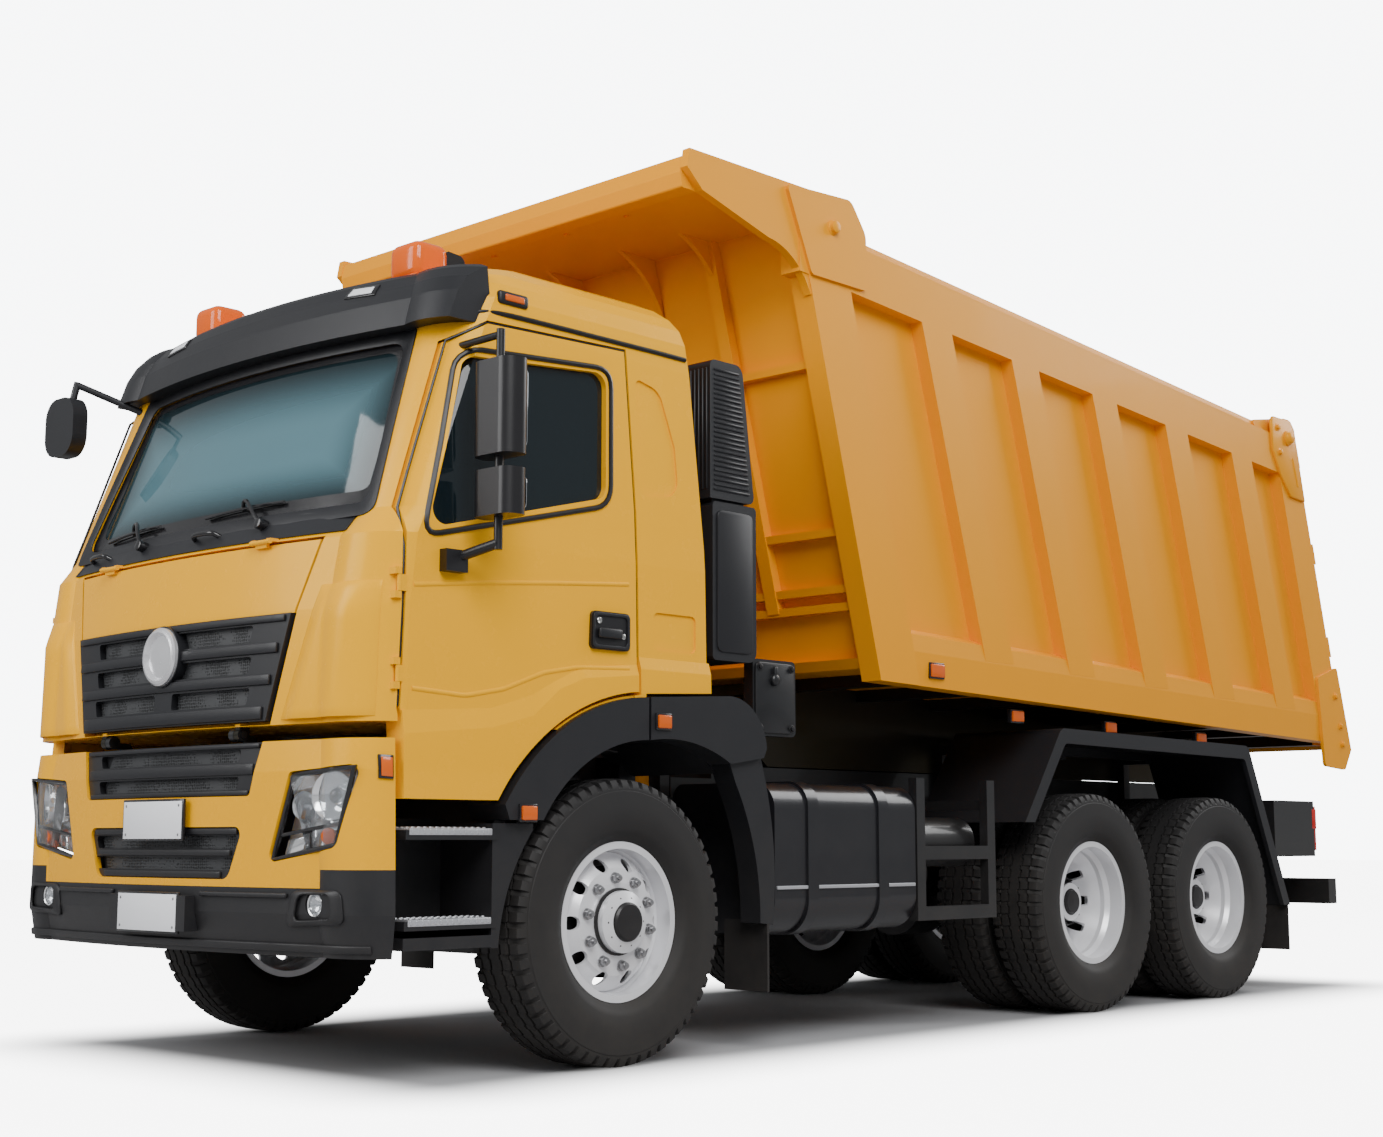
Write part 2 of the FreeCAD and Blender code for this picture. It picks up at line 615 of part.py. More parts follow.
def arch_height(x):
    """Height of the wheel arch's edge at station x, on the circle through its three points."""
    arc = Part.Arc(V(ARCH_FOOT[0], 0, ARCH_FOOT[1]), V(ARCH_CROWN[0], 0, ARCH_CROWN[1]),
                   V(ARCH_SPLIT, 0, ARCH_SPLIT_Z)).toShape().Curve
    return arc.Center.z + math.sqrt(arc.Radius ** 2 - (x - arc.Center.x) ** 2)


def floor_block(lift):
    """Everything below the cab's floor line, raised by lift: nose, wheel arch and rear."""
    front = 352.0
    middle = 130.0
    arc_end = (ARCH_SPLIT, ARCH_SPLIT_Z + GAP + lift)
    return arch_prism([(1500.0, CAB_BASE - 400), (1500.0, CAB_BASE + lift), (front, CAB_BASE + lift),
                       (front, arch_height(front) + GAP + lift),
                       ("arc", (middle, arch_height(middle) + GAP + lift), arc_end),
                       (ARCH_SPLIT - 1, 1427.0 + lift), (CAB_REAR - 200, 1457.0 + lift),
                       (CAB_REAR - 200, CAB_BASE - 400)], -1400, 1400)


def door_outline(grow):
    """Door outline in the XZ plane, grown outwards by grow for its opening."""
    return [(1083 + grow, 1000 - grow), (1084 + grow, 1292), (DOOR_EDGE + grow, 1312),
            (1062 + grow, 2035), (832 + grow, 2690 + grow * 0.3), (700 + grow * 0.3, 2768 + grow),
            (-15 - grow, DOOR_TOP + grow), (-60 - grow, 2139), (-73 - grow, 1432 - grow),
            ("arc", (380 - grow * 0.6, 1274 - grow), (652 - grow * 0.8, 1000 - grow))]


def window_outline(shrink):
    return [(985 - shrink * 1.3, 1962 + shrink, 55), (800 - shrink, 2628 - shrink * 0.6, 60),
            (85 + shrink, 2684 - shrink, 60), (96 + shrink, 2183 + shrink, 60)]


SCREEN = [(-985.0, 2058.0, 60), (985.0, 2058.0, 60), (885.0, 2735.0, 70), (-885.0, 2735.0, 70)]
FLAP = [(-632.0, 1282.0), (632.0, 1282.0), (742.0, 1690.0), (826.0, FLAP_TOP), (-826.0, FLAP_TOP),
        (-742.0, 1690.0)]
GLASS = 8.0


def grown(points, amount):
    """A YZ outline that is symmetric about y = 0, moved out by amount."""
    middle = sum(p[1] for p in points) / len(points)
    result = []
    for p in points:
        y = p[0] + (amount if p[0] > 0 else -amount)
        z = p[1] + (amount if p[1] > middle else -amount)
        result.append((y, z) + tuple(p[2:]))
    return result


def flap_cut(amount):
    """Front flap outline grown by amount; the side corners stay in line."""
    result = []
    for y, z in FLAP:
        up = amount if z > 1900 else (-amount if z < 1300 else 0)
        side = amount * 1.5 if z > 1900 else amount
        result.append((y + math.copysign(side, y), z + up))
    return result


BAND_DOOR = [(1120.0, 1305.0, 1195.0), (678.0, 1333.0, 1240.0), (480.0, 1390.0, 1290.0),
             (352.0, 1454.0, 1406.0), (220.0, 1511.0, 1455.0), (-80.0, 1541.0, 1484.0)]


BAND_QUARTER = [(-50.0, 1570.0, 1508.0), (-600.0, 1570.0, 1508.0)]


RECESS_DEEP = 8.0


RECESSES = [[(-75.0, 2695.0, 25), (-215.0, 2662.0, 90), (-300.0, 2440.0, 60), (-318.0, 2240.0, 70),
             (-115.0, 2215.0, 30)],
            [(-166.0, 1754.0, 25), (-409.0, 1754.0, 25), (-409.0, 1604.0, 25), (-166.0, 1604.0, 25)]]


def shell_between(z0, z1, outer, inner):
    """Layer of the cab form between two insets; a negative inset lies outside the form."""
    return cab_form(z0, z1, outer).cut(cab_form(z0 - 10, z1 + 10, inner))


def arch_band(line, floor):
    """Band that stands proud of the side over the arch, with a sloping upper edge."""
    inner = [(p[0], p[1]) for p in line]
    outer = [(p[0], p[2]) for p in line]
    wires = []
    for y, edge in ((CAB_HALF - 60, inner), (CAB_HALF, inner), (CAB_HALF + BAND_PROUD + 4, outer)):
        points = edge + [(line[-1][0], floor), (line[0][0], floor)]
        wires.append(Part.makePolygon([V(at(p[0]), y, p[1]) for p in points + points[:1]]))
    form = Part.makeLoft(wires, True, True)
    return form.common(shell_between(800, 1700, -BAND_PROUD, 5))


def side_recesses():
    """Pressed recesses in the panel behind the door."""
    skin = shell_between(1500, 2800, -50, RECESS_DEEP)
    return [skin.common(side_prism(outline, 1000, CAB_HALF + 60)) for outline in RECESSES]


def door_hinge_levels():
    return (1380.0, 1700.0)


REAR_WINDOW = [(-560.0, 2150.0, 60), (560.0, 2150.0, 60), (560.0, 2560.0, 60), (-560.0, 2560.0, 60)]


def flap_pins():
    """Hinge pins of the front flap in their lugs, on the cab."""
    x, z = FLAP_HINGE
    pieces = []
    for y in (-530, 530):
        pieces.append(rod((x, y - 62, z), (x, y + 62, z), HINGE_PIN_R))
        for end in (-62, 37):
            pieces.append(rod((x, y + end, z), (x, y + end + 25, z), KNUCKLE_R))
            pieces.append(box(x - 60, x, y + end, y + end + 25, z, z + KNUCKLE_R + 3))
    return pieces


def door_pins():
    """Hinge pins of the left door in their lugs, on the cab."""
    pieces = []
    for z in door_hinge_levels():
        base = V(at(DOOR_HINGE_X), DOOR_HINGE_Y, z)
        pieces.append(Part.makeCylinder(HINGE_PIN_R, 110, base))
        for lift in (0, 85):
            pieces.append(Part.makeCylinder(KNUCKLE_R, 25, base + V(0, 0, lift)))
            pieces.append(box(DOOR_HINGE_X, DOOR_HINGE_X + 22, DOOR_HINGE_Y - 30, DOOR_HINGE_Y + 5,
                              z + lift, z + lift + 25))
    return pieces


def door_pockets():
    """Room in the left front pillar for the door's hinge knuckles."""
    x = DOOR_HINGE_X
    y = DOOR_HINGE_Y
    room = KNUCKLE_R + 4
    return [box(x - 50, x + room, y - room, y + 80, z + 24, z + 86) for z in door_hinge_levels()]


def cab_shell():
    """Hollow cab body: floor, rear wall, pillars, roof and front corners, with its pivot ears."""
    outer = cab_form(CAB_BASE, ROOF_TOP, 0)
    inner = cab_form(CAB_BASE + 60, ROOF_TOP - CAB_WALL, CAB_WALL)
    inner = inner.cut(floor_block(CAB_WALL))
    band = arch_band(BAND_QUARTER, 1300)
    shell = fuse([outer, band, mirrored(band)]).cut([floor_block(0), inner])
    door_cut = shell_between(1265, 2830, -50, DOOR_THICK + SHUT)
    opening = door_cut.common(arch_prism(door_outline(SHUT), DOOR_WRAP - SHUT, CAB_HALF + 100))
    opening = opening.fuse(door_pockets())
    screen = cross_prism(SCREEN, 500, 1400)
    flap = shell_between(1255, 1965, -50, FLAP_THICK + SHUT).common(cross_prism(flap_cut(SHUT), 1050, 1400))
    rear = cross_prism(REAR_WINDOW, CAB_REAR - 100, CAB_REAR + 250)
    cuts = [opening] + side_recesses()
    shell = shell.cut(cuts + [mirrored(cut) for cut in cuts] + [screen, flap, rear])
    ears = []
    for side in (-1, 1):
        y0 = side * (RAIL_OUT - RAIL_WEB + 33)
        y1 = y0 + side * 30
        ears.append(rod((CAB_PIVOT_X, y0, CAB_PIVOT_Z), (CAB_PIVOT_X, y1, CAB_PIVOT_Z), CAB_EAR_R))
        ears.append(box(CAB_PIVOT_X - CAB_EAR_R, CAB_PIVOT_X + 18, y0, y1, CAB_PIVOT_Z, CAB_BASE + 10))
    bore = rod((CAB_PIVOT_X, -600, CAB_PIVOT_Z), (CAB_PIVOT_X, 600, CAB_PIVOT_Z), CAB_PIVOT_R + RUNNING)
    pins = door_pins()
    return fuse([shell] + ears + flap_pins() + pins + [mirrored(p) for p in pins]).cut(bore)


def cab_glass():
    """Windscreen and rear window."""
    skin = shell_between(2000, 2800, 14, 14 + GLASS)
    screen = skin.common(cross_prism(grown(SCREEN, -GAP), 500, 1400))
    rear = skin.common(cross_prism(grown(REAR_WINDOW, -GAP), CAB_REAR - 100, CAB_REAR + 250))
    return [screen, rear]


def door():
    """Left door: one shell of full thickness with its window opening and hinge knuckles."""
    skin = shell_between(985, 2830, 0, DOOR_THICK).fuse(arch_band(BAND_DOOR, 900))
    panel = skin.common(arch_prism(door_outline(0), DOOR_WRAP, CAB_HALF + 60))
    panel = panel.cut(side_prism(window_outline(0), 850, CAB_HALF + 60))
    pieces = [panel]
    bores = []
    for z in door_hinge_levels():
        base = V(at(DOOR_HINGE_X), DOOR_HINGE_Y, z + 26)
        pieces.append(Part.makeCylinder(KNUCKLE_R, 58, base))
        pieces.append(box(DOOR_HINGE_X - 30, DOOR_HINGE_X, DOOR_HINGE_Y - 8, DOOR_HINGE_Y + 8, z + 26,
                          z + 84))
        bores.append(Part.makeCylinder(HINGE_PIN_R + GAP, 58, base))
    return fuse(pieces).cut(bores)


def door_glass():
    skin = shell_between(1900, 2750, 25, 25 + GLASS)
    return skin.common(side_prism(window_outline(GAP), 850, CAB_HALF + 60))


def door_fittings(x):
    """Left mirrors on their tube arms at station x, and the door handle."""
    y = 1360.0
    main = plan_prism([(x - 55, y - 115, 40), (x + 55, y - 95, 50), (x + 55, y + 95, 50), (x - 55, y + 115,
                                                                                           40)],
                      2225, 2575)
    small = plan_prism([(x - 55, y - 110, 40), (x + 50, y - 95, 45), (x + 50, y + 95, 45), (x - 55, y + 110,
                                                                                            40)],
                       2005, 2175)
    stem = rod((x, y, 1885), (x, y, 2694), 16)
    top_arm = rod((x, y, 2674), (x - 10, 1120, 2674), 14)
    low_arm = rod((x, y, 1908), (880, CAB_HALF - 40, 1850), 19)
    foot = box(830, 930, CAB_HALF - 60, CAB_HALF + 40, 1810, 1890)
    mirror = fuse([main, small, stem, top_arm, low_arm, foot])
    mirror = mirror.cut(cab_form(1700, 2800, -GAP))
    mirror = max(mirror.Solids, key=lambda piece: piece.Volume)
    handle = side_prism([(-20, 1585, 20), (191, 1585, 20), (185, 1732, 20), (-20, 1732, 20)],
                        CAB_HALF + GAP, CAB_HALF + 14)
    return [mirror, handle]


def cab_flap():
    """Yellow front flap panel above the grille, with its hinge knuckles."""
    skin = shell_between(1270, 1960, 0, FLAP_THICK)
    panel = skin.common(cross_prism(flap_cut(0), 1000, 1400))
    panel = panel.cut(cross_prism([(-800, 1200), (800, 1200), (800, 1672), (-800, 1672)], 1000, 1400))
    trim = shell_between(1760, 2000, FLAP_EDGE, FLAP_THICK + 60).common(box(950, 1400, 740, 900, 1780, 2000))
    panel = panel.cut([trim, mirrored(trim)])
    x, z = FLAP_HINGE
    pieces = [panel]
    bores = []
    for y in (-530, 530):
        pieces.append(rod((x, y - 36, z), (x, y + 36, z), KNUCKLE_R))
        pieces.append(box(x - 16, x - 2, y - 36, y + 36, FLAP_TOP - 10, z))
        bores.append(rod((x, y - 36, z), (x, y + 36, z), HINGE_PIN_R + GAP))
    return fuse(pieces).cut(bores)


def upper_grille():
    """Upper grille: frame and cross bars with slots, and the blank round badge."""
    skin = shell_between(1270, 1960, -12, FLAP_THICK)
    zone = cross_prism([(-632, 1284), (632, 1284), (735, 1672 - GAP), (-735, 1672 - GAP)], 1000, 1400)
    block = skin.common(zone)
    slots = []
    for z in (1345, 1460, 1575):
        slots.append(cross_prism([(-520, z, 12), (-60, z, 12), (-60, z + 62, 12), (-540, z + 62, 12)], 1190,
                                 1400))
        slots.append(cross_prism([(60, z, 12), (520, z, 12), (540, z + 62, 12), (60, z + 62, 12)], 1190,
                                 1400))
    badge = rod((1262, 0, 1552), (1308, 0, 1552), 118)
    return block.cut(slots).fuse(badge).removeSplitter()


def cowl():
    """Black cowl below the windscreen with the wiper pivots."""
    skin = shell_between(1962, 2056, -8, -GAP)
    return skin.common(box(900, 1400, -940, 940, 1900, 2100))


def visor_form(grow):
    """The sun visor's wrap-round form, larger all round by grow."""
    skin = shell_between(2768 - grow, 3010 + grow, -75 - grow, -GAP)
    return skin.common(side_prism([(1400, 2700), (1400, 3100), (700 - grow, 3100), (660 - grow, 2760)],
                                  -1150 - grow, 1150 + grow))


def sun_visor():
    """Wrap-round visor over the windscreen."""
    return visor_form(0)


BEACON_Y = 690.0
BEACON_SPLIT = 560.0


def beacons():
    """Two amber lamps on the roof, rounded at the front and rising to their mounts."""
    room = [cab_form(2900, ROOF_TOP, -GAP), visor_form(GAP)]
    pieces = []
    for y in (BEACON_Y, -BEACON_Y):
        side = side_prism([(735, 2990), (735, 3100, 40), (690, 3172, 60), (BEACON_SPLIT, 3180),
                           (BEACON_SPLIT, 2990)], y - 100, y + 100)
        plan = plan_prism([(BEACON_SPLIT, y - 90), (735, y - 90, 75), (735, y + 90, 75),
                           (BEACON_SPLIT, y + 90)], 2900, 3200)
        pieces.append(side.common(plan).cut(room))
    return pieces


def roof_fittings():
    """Beacon mounts on the roof and the front mirror on its arm at the right corner."""
    room = [cab_form(2700, ROOF_TOP, -GAP), visor_form(GAP)]
    pieces = []
    for y in (BEACON_Y, -BEACON_Y):
        mount = side_prism([(BEACON_SPLIT, 2990), (BEACON_SPLIT, 3168, 12), (470, 3160, 35), (440, 3000)],
                           y - 62, y + 62)
        pieces.append(mount.cut(room))
    head = cross_prism([(-1335, 2525, 90), (-1095, 2525, 90), (-1095, 2785, 90), (-1335, 2785, 90)],
                       1045, 1115)
    knee = (1050, -1185, 2850)
    arm = rod((800, -940, 2700), knee, 15)
    drop = rod((knee[0], knee[1], knee[2] + 12), (1078, -1205, 2700), 16)
    mirror = fuse([head, arm, drop]).cut(room)
    pieces.append(max(mirror.Solids, key=lambda piece: piece.Volume))
    return pieces


def cab_seats():
    """Driver's and passenger's seats on their pedestals."""
    floor = 1512.0
    result = []
    for y in (520, -520):
        pedestal = box(-100, 240, y - 170, y + 170, CAB_BASE, floor + 240)
        pedestal = pedestal.cut(floor_block(CAB_WALL + GAP))
        cushion = side_prism([(-140, floor + 230, 30), (330, floor + 230, 30), (340, floor + 350, 50),
                              (-140, floor + 340, 30)], y - 250, y + 250)
        back = side_prism([(-80, floor + 300, 30), (-200, floor + 960, 40), (-300, floor + 940, 40),
                           (-200, floor + 290, 30)], y - 240, y + 240)
        head = side_prism([(-195, floor + 930, 20), (-220, floor + 1110, 30), (-300, floor + 1100, 30),
                           (-285, floor + 920, 20)], y - 130, y + 130)
        result.append(fuse([pedestal, cushion, back, head]))
    return result


WHEEL_HUB = (560.0, 520.0, 2080.0)


WHEEL_RING = 205.0


WHEEL_TILT = 48.0


def dashboard():
    """Dashboard across the cab with the steering column and wheel."""
    low = CAB_BASE + 60 + GAP
    dash = side_prism([(830, low + 300, 30), (1100, low + 300), (1060, 2000), (1000, 2030, 40), (760, 2010,
                                                                                                 50),
                       (700, 1840, 60)], -1080, 1080)
    plan = plan_prism([(600, -1060), (920, -1060), (1050, -800), (1090, -400), (1090, 400), (1050, 800),
                       (920, 1060), (600, 1060)], low, 2100)
    swing = Part.makeCylinder(DOOR_SWEEP, 1200, V(at(DOOR_HINGE_X), DOOR_HINGE_Y, low))
    dash = dash.common(plan).cut([swing, mirrored(swing)])
    legs = box(980, 1060, -500, 500, low, low + 320)
    hub = V(at(WHEEL_HUB[0]), WHEEL_HUB[1], WHEEL_HUB[2])
    column = rod((WHEEL_HUB[0] + 200, WHEEL_HUB[1], WHEEL_HUB[2] - 180), WHEEL_HUB, 28)
    section = Part.makePolygon([hub + V(WHEEL_RING + p[0], 0, p[1])
                                for p in ((-14, -8), (0, -15), (14, -8), (14, 8), (0, 15), (-14, 8), (-14,
                                                                                                      -8))])
    ring = Part.Face(section).revolve(hub, V(0, 0, 1), 360)
    ring.rotate(hub, V(0, 1, 0), -WHEEL_TILT)
    spoke = rod((WHEEL_HUB[0], WHEEL_HUB[1] - WHEEL_RING, WHEEL_HUB[2]),
                (WHEEL_HUB[0], WHEEL_HUB[1] + WHEEL_RING, WHEEL_HUB[2]), 9)
    return fuse([dash, legs, column, ring, spoke])


# Wheel arches and front end

def front_flares():
    """Black arch trim that tilts with the cab."""
    flare = arch_prism([(605, 930), ARCH_FOOT, ("arc", ARCH_CROWN, (ARCH_SPLIT, ARCH_SPLIT_Z)),
                        (ARCH_SPLIT, 1245), ("arc", (190, 1165), (440, 930))], 1010, 1222)
    return both(flare.cut(steer_room(1)))


def rear_flares():
    """Rear half of the front wheel arch, its guard and bracket, on the frame."""
    split = ARCH_SPLIT - SHUT
    flare = arch_prism([(split, 1414), (-560, 1440), ("arc", (-740, 1380), (-812, 1235)), (-792, 1195),
                        (-590, 1165), ("arc", (-430, 1228), (split, 1245))], 1090, 1222)
    guard = arch_prism([(-600, 1180), (-640, 1090), ("arc", (-745, 850), (-790, 520)), (-870, 510),
                        ("arc", (-878, 800), (-795, 1200))], 1090, 1200)
    liner = arch_prism([(split, 1275), (-430, 1258), (-640, 1130), (-655, 1150), (-440, 1283), (split, 1300)],
                       560, 1100)
    arm = side_prism([(-660, 1000), (-560, 1000), (-560, 1210), (-660, 1150)], RAIL_OUT, 600)
    return both(fuse([flare, guard, liner, arm]))


def cab_steps():
    """Two-tread step well below each door."""
    low = 477.0
    high = 935.0
    flare_foot = 930.0 - SHUT
    back = box(640, 1060, 880, 900, low, high)
    cheek = arch_prism([(626, 473), (660, 473), (660, flare_foot), (463, flare_foot), (463, 894),
                        ("arc", (575, 700), (626, 473))], 640, 1190)
    base = box(640, 1060, 890, 1190, low, 520)
    lower = box(640, 1060, 890, 1195, 545, 577)
    upper = box(640, 1060, 890, 1195, 858, 892)
    arm = box(700, 895, RAIL_OUT, 890, 800, 900)
    body = fuse([back, cheek, base, lower, upper, arm])
    return both(body.cut(steer_room(1)))


def steer_room(side):
    """Room that a front wheel needs about its kingpin at any steering angle."""
    clear = 12.0
    points = []
    offset = TYRE_OUT - KINGPIN_Y + clear
    radius = TYRE_R + clear
    steps = 8
    for i in range(steps + 1):
        angle = math.pi * i / steps
        half_chord = radius * math.sin(angle)
        points.append((math.hypot(half_chord, offset), TYRE_R - radius * math.cos(angle)))
    section = [(0, TYRE_R - radius)] + points + [(0, TYRE_R + radius)]
    y = side * KINGPIN_Y
    edges = Part.makePolygon([V(AXLE_X + p[0], y, p[1]) for p in section + [section[0]]])
    return Part.Face(edges).revolve(V(AXLE_X, y, 0), V(0, 0, 1), 360)


LAMP = [(665.0, 775.0, 25), (1030.0, 832.0, 40), (1120.0, 1120.0, 30), (772.0, 1098.0, 25)]


def lower_panel():
    """Yellow front panel below the cab, cut for the headlamps and the lower grille."""
    skin = shell_between(690, PANEL_TOP, 0, 25)
    skin = skin.common(box(1104, 1400, -1300, 1300, 600, 1300))
    lamp = cross_prism(LAMP, 1000, 1400)
    centre = cross_prism([(-560, 1015, 20), (560, 1015, 20), (640, 1300), (-640, 1300)], 1000, 1400)
    intake = cross_prism([(-450, 716, 50), (450, 716, 50), (530, 905, 30), (-530, 905, 30)], 1000, 1400)
    side = box(1000, 1400, 940, 1300, 600, 755)
    skin = skin.cut([lamp, mirrored(lamp), centre, intake, side, mirrored(side)])
    arms = [box(RAIL_FRONT, 1270, side_y * 340, side_y * 368, 925, 1000) for side_y in (-1, 1)]
    return fuse([skin] + arms)


FOG = (912.0, 634.0, 45.0)


def front_bumper():
    """Black bumper with its fog lamp pockets and plate carrier, on brackets to the rails."""
    skin = shell_between(452, 755, 0, 60)
    skin = skin.common(box(1104, 1400, -1300, 1300, 400, 800))
    skin = skin.cut(box(1000, 1400, -940, 940, 690 - GAP, 800))
    fog = rod((1000, FOG[0], FOG[1]), (1400, FOG[0], FOG[1]), FOG[2])
    pieces = [skin.cut([fog, mirrored(fog)])]
    for side in (-1, 1):
        pieces.append(side_prism([(RAIL_FRONT, 560), (1240, 560), (1240, 680), (1190, 760), (RAIL_FRONT,
                                                                                             960)],
                                 side * 375, side * 420))
    pieces.append(box(1260, FRONT_OVERHANG, -260, 260, 525, 655))
    return fuse(pieces)


def lower_grille():
    """Black bars and mesh between the cab and the number plate, and in the intake."""
    skin = shell_between(690, PANEL_TOP, 12, 50)
    top = PANEL_TOP - 2
    reach = 560 + (top - 1015) * 80 / 285 - 1
    upper = skin.common(cross_prism([(-560 + GAP, 1015 + GAP, 20), (560 - GAP, 1015 + GAP, 20),
                                     (reach, top), (-reach, top)], 1000, 1400))
    intake = skin.common(cross_prism([(-450 + GAP, 716 + GAP, 50), (450 - GAP, 716 + GAP, 50),
                                      (530 - GAP, 905 - GAP, 30), (-530 + GAP, 905 - GAP, 30)], 1000, 1400))
    slots = [cross_prism([(-470, z, 12), (470, z, 12), (490, z + h, 12), (-490, z + h, 12)], 1240, 1400)
             for z, h in ((1038, 48), (1138, 48), (748, 48), (826, 48))]
    return [upper.cut(slots), intake.cut(slots)]


def front_lamps():
    """Headlamps and fog lamps."""
    skin = shell_between(700, 1200, 6, 70)
    middle_y = sum(p[0] for p in LAMP) / 4
    middle_z = sum(p[1] for p in LAMP) / 4
    inset = [(middle_y + (p[0] - middle_y) * 0.998, middle_z + (p[1] - middle_z) * 0.998, p[2]) for p in LAMP]
    head = skin.common(cross_prism(inset, 1040, 1400))
    fog = rod((1180, FOG[0], FOG[1]), (1222, FOG[0], FOG[1]), FOG[2] - GAP)
    return both(head) + both(fog)


def air_intake():
    """Intake stack behind the cab: ribbed head, plain duct and its bracket."""
    head = side_prism([(-505, 2262), (-780, 2262, 30), (-705, 2850, 50), (-505, 2850, 30)], 950, 1185)
    duct = side_prism([(-520, 1590, 20), (-790, 1590, 50), (-790, 2250, 20), (-520, 2250, 20)], 960, 1185)
    neck = box(-540, -740, 980, 1160, 2240, 2270)
    post = box(-680, -760, RAIL_OUT, RAIL_OUT + 60, 900, 1700)
    arm = box(-680, -760, RAIL_OUT, 1000, 1640, 1700)
    return fuse([head, duct, neck, post, arm])


# Rear end

GUARD_LINE = [(1288.0, 945.0), (951.0, 1413.0, 60), (-974.0, 1390.0, 60), (-1405.0, 490.0)]


def rear_mudguards():
    """Faceted guards over the twin wheels, on brackets to the rail."""
    thick = 30.0
    outer = [(BOGIE + p[0], p[1]) + tuple(p[2:]) for p in GUARD_LINE]
    inner = [(BOGIE - 1405 + 32, 490), (BOGIE - 974 + 20, 1390 - thick, 40),
             (BOGIE + 951 - 14, 1413 - thick, 40), (BOGIE + 1288 - 36, 945)]
    roof = side_prism(outer + inner, TYRE_OUT - 640, TYRE_OUT + 5)
    rim_inner = [(BOGIE - 1405 + 75, 490), (BOGIE - 974 + 45, 1390 - 75, 40),
                 (BOGIE + 951 - 35, 1413 - 75, 40), (BOGIE + 1288 - 85, 945)]
    lip = side_prism(outer + rim_inner, TYRE_OUT - 20, TYRE_OUT + 5)
    arms = []
    for x in (BOGIE + 900, BOGIE, BOGIE - 900):
        arms.append(box(x - 30, x + 30, RAIL_OUT, TYRE_OUT - 600, 1300, 1350))
        arms.append(box(x - 30, x + 30, RAIL_OUT, RAIL_OUT + 45, 1000, 1350))
    arms.append(box(BOGIE - 930, BOGIE + 930, TYRE_OUT - 640, TYRE_OUT - 600, 1320, 1370))
    return both(fuse([roof, lip] + arms))


def mud_flaps():
    """Rubber flaps behind the front and rear wheels, under the guards that hold them."""
    rear_x = BOGIE - 1385
    front_x = -838.0
    guards = rear_mudguards() + rear_flares()
    rear = box(rear_x - 6, rear_x + 6, TYRE_OUT - 640, TYRE_OUT, 235, 500)
    front = box(front_x - 6, front_x + 6, 960, TYRE_OUT - 15, 240, 530)
    return [flap.cut(guards) for flap in both(rear) + both(front)]


def rear_bumper():
    """Underrun bar with its brackets on the rails' outer sides, and the lamp carriers."""
    bar_x = BOGIE - 2100
    pieces = [box(bar_x - 50, bar_x + 50, -1150, 1150, 480, 630)]
    rail_end = BOGIE + TAIL
    for side in (-1, 1):
        y = side * RAIL_OUT
        pieces.append(side_prism([(rail_end + 150, 772), (rail_end + 150, 830), (rail_end + 20, 830),
                                  (bar_x - 40, 625), (bar_x - 40, 500), (bar_x + 40, 500)], y, y + side * 20))
        pieces.append(box(BOGIE - 1830, BOGIE - 1330, side * 1020, side * 1180, 765, 1090))
        pieces.append(box(rail_end + 60, rail_end + 130, side * RAIL_OUT, side * 1030, 860, 930))
    return fuse(pieces)


def tail_lamps():
    x = BOGIE - 1830 - GAP
    lamp = box(x - 30, x, 1030, 1175, 800, 1060)
    return both(lamp)


# Hoist

def hoist_axis():
    """Unit direction and length of the closed hoist from its trunnion to its eye."""
    d = V(HOIST_EYE_X - HOIST_BASE_X, 0, HOIST_EYE_Z - HOIST_BASE_Z)
    return d.normalize(), math.hypot(HOIST_EYE_X - HOIST_BASE_X, HOIST_EYE_Z - HOIST_BASE_Z)


HOIST_RADII = [BARREL_R, 96.0, 76.0, 56.0]
HOIST_TOPS = [1560.0, 1590.0, 1620.0, 1700.0]


def hoist_turned(points):
    """Revolved hoist piece; points are (radius, distance along the axis from the trunnion)."""
    d = hoist_axis()[0]
    face = Part.Face(Part.makePolygon([V(p[0], 0, p[1]) for p in points + [points[0]]]))
    solid = face.revolve(V(0, 0, 0), V(0, 0, 1), 360)
    solid.rotate(V(0, 0, 0), V(0, 1, 0), math.degrees(math.atan2(d.x, d.z)))
    solid.translate(V(at(HOIST_BASE_X), 0, HOIST_BASE_Z))
    return solid


def hoist_barrel():
    """Barrel with its foot eye on the trunnion pin."""
    bore = HOIST_RADII[1] + RUNNING
    top = HOIST_TOPS[0]
    body = hoist_turned([(0, 40), (55, 40), (55, 80), (BARREL_R, 80), (BARREL_R, top - 70),
                         (BARREL_R + 12, top - 70), (BARREL_R + 12, top), (bore, top), (bore, 112), (0, 112)])
    base = V(at(HOIST_BASE_X), -70, HOIST_BASE_Z)
    eye = Part.makeCylinder(62, 140, base, V(0, 1, 0))
    hole = Part.makeCylinder(30 + RUNNING, 140, base, V(0, 1, 0))
    return fuse([body, eye]).cut(hole)


def hoist_stage(index):
    """Telescopic stage; the last one carries the eye at the bed."""
    radius = HOIST_RADII[index]
    top = HOIST_TOPS[index]
    start = 120.0 + 8 * index
    if index < len(HOIST_RADII) - 1:
        bore = HOIST_RADII[index + 1] + RUNNING
        return hoist_turned([(bore, start), (radius, start), (radius, top), (bore, top)])
    length = hoist_axis()[1]
    shaft = hoist_turned([(0, start), (radius, start), (radius, length - 40), (0, length - 40)])
    eye = Part.makeCylinder(60, 70, V(at(HOIST_EYE_X), -35, HOIST_EYE_Z), V(0, 1, 0))
    pin = Part.makeCylinder(26, 120, V(at(HOIST_EYE_X), -60, HOIST_EYE_Z), V(0, 1, 0))
    return fuse([shaft, eye, pin])


# Bed

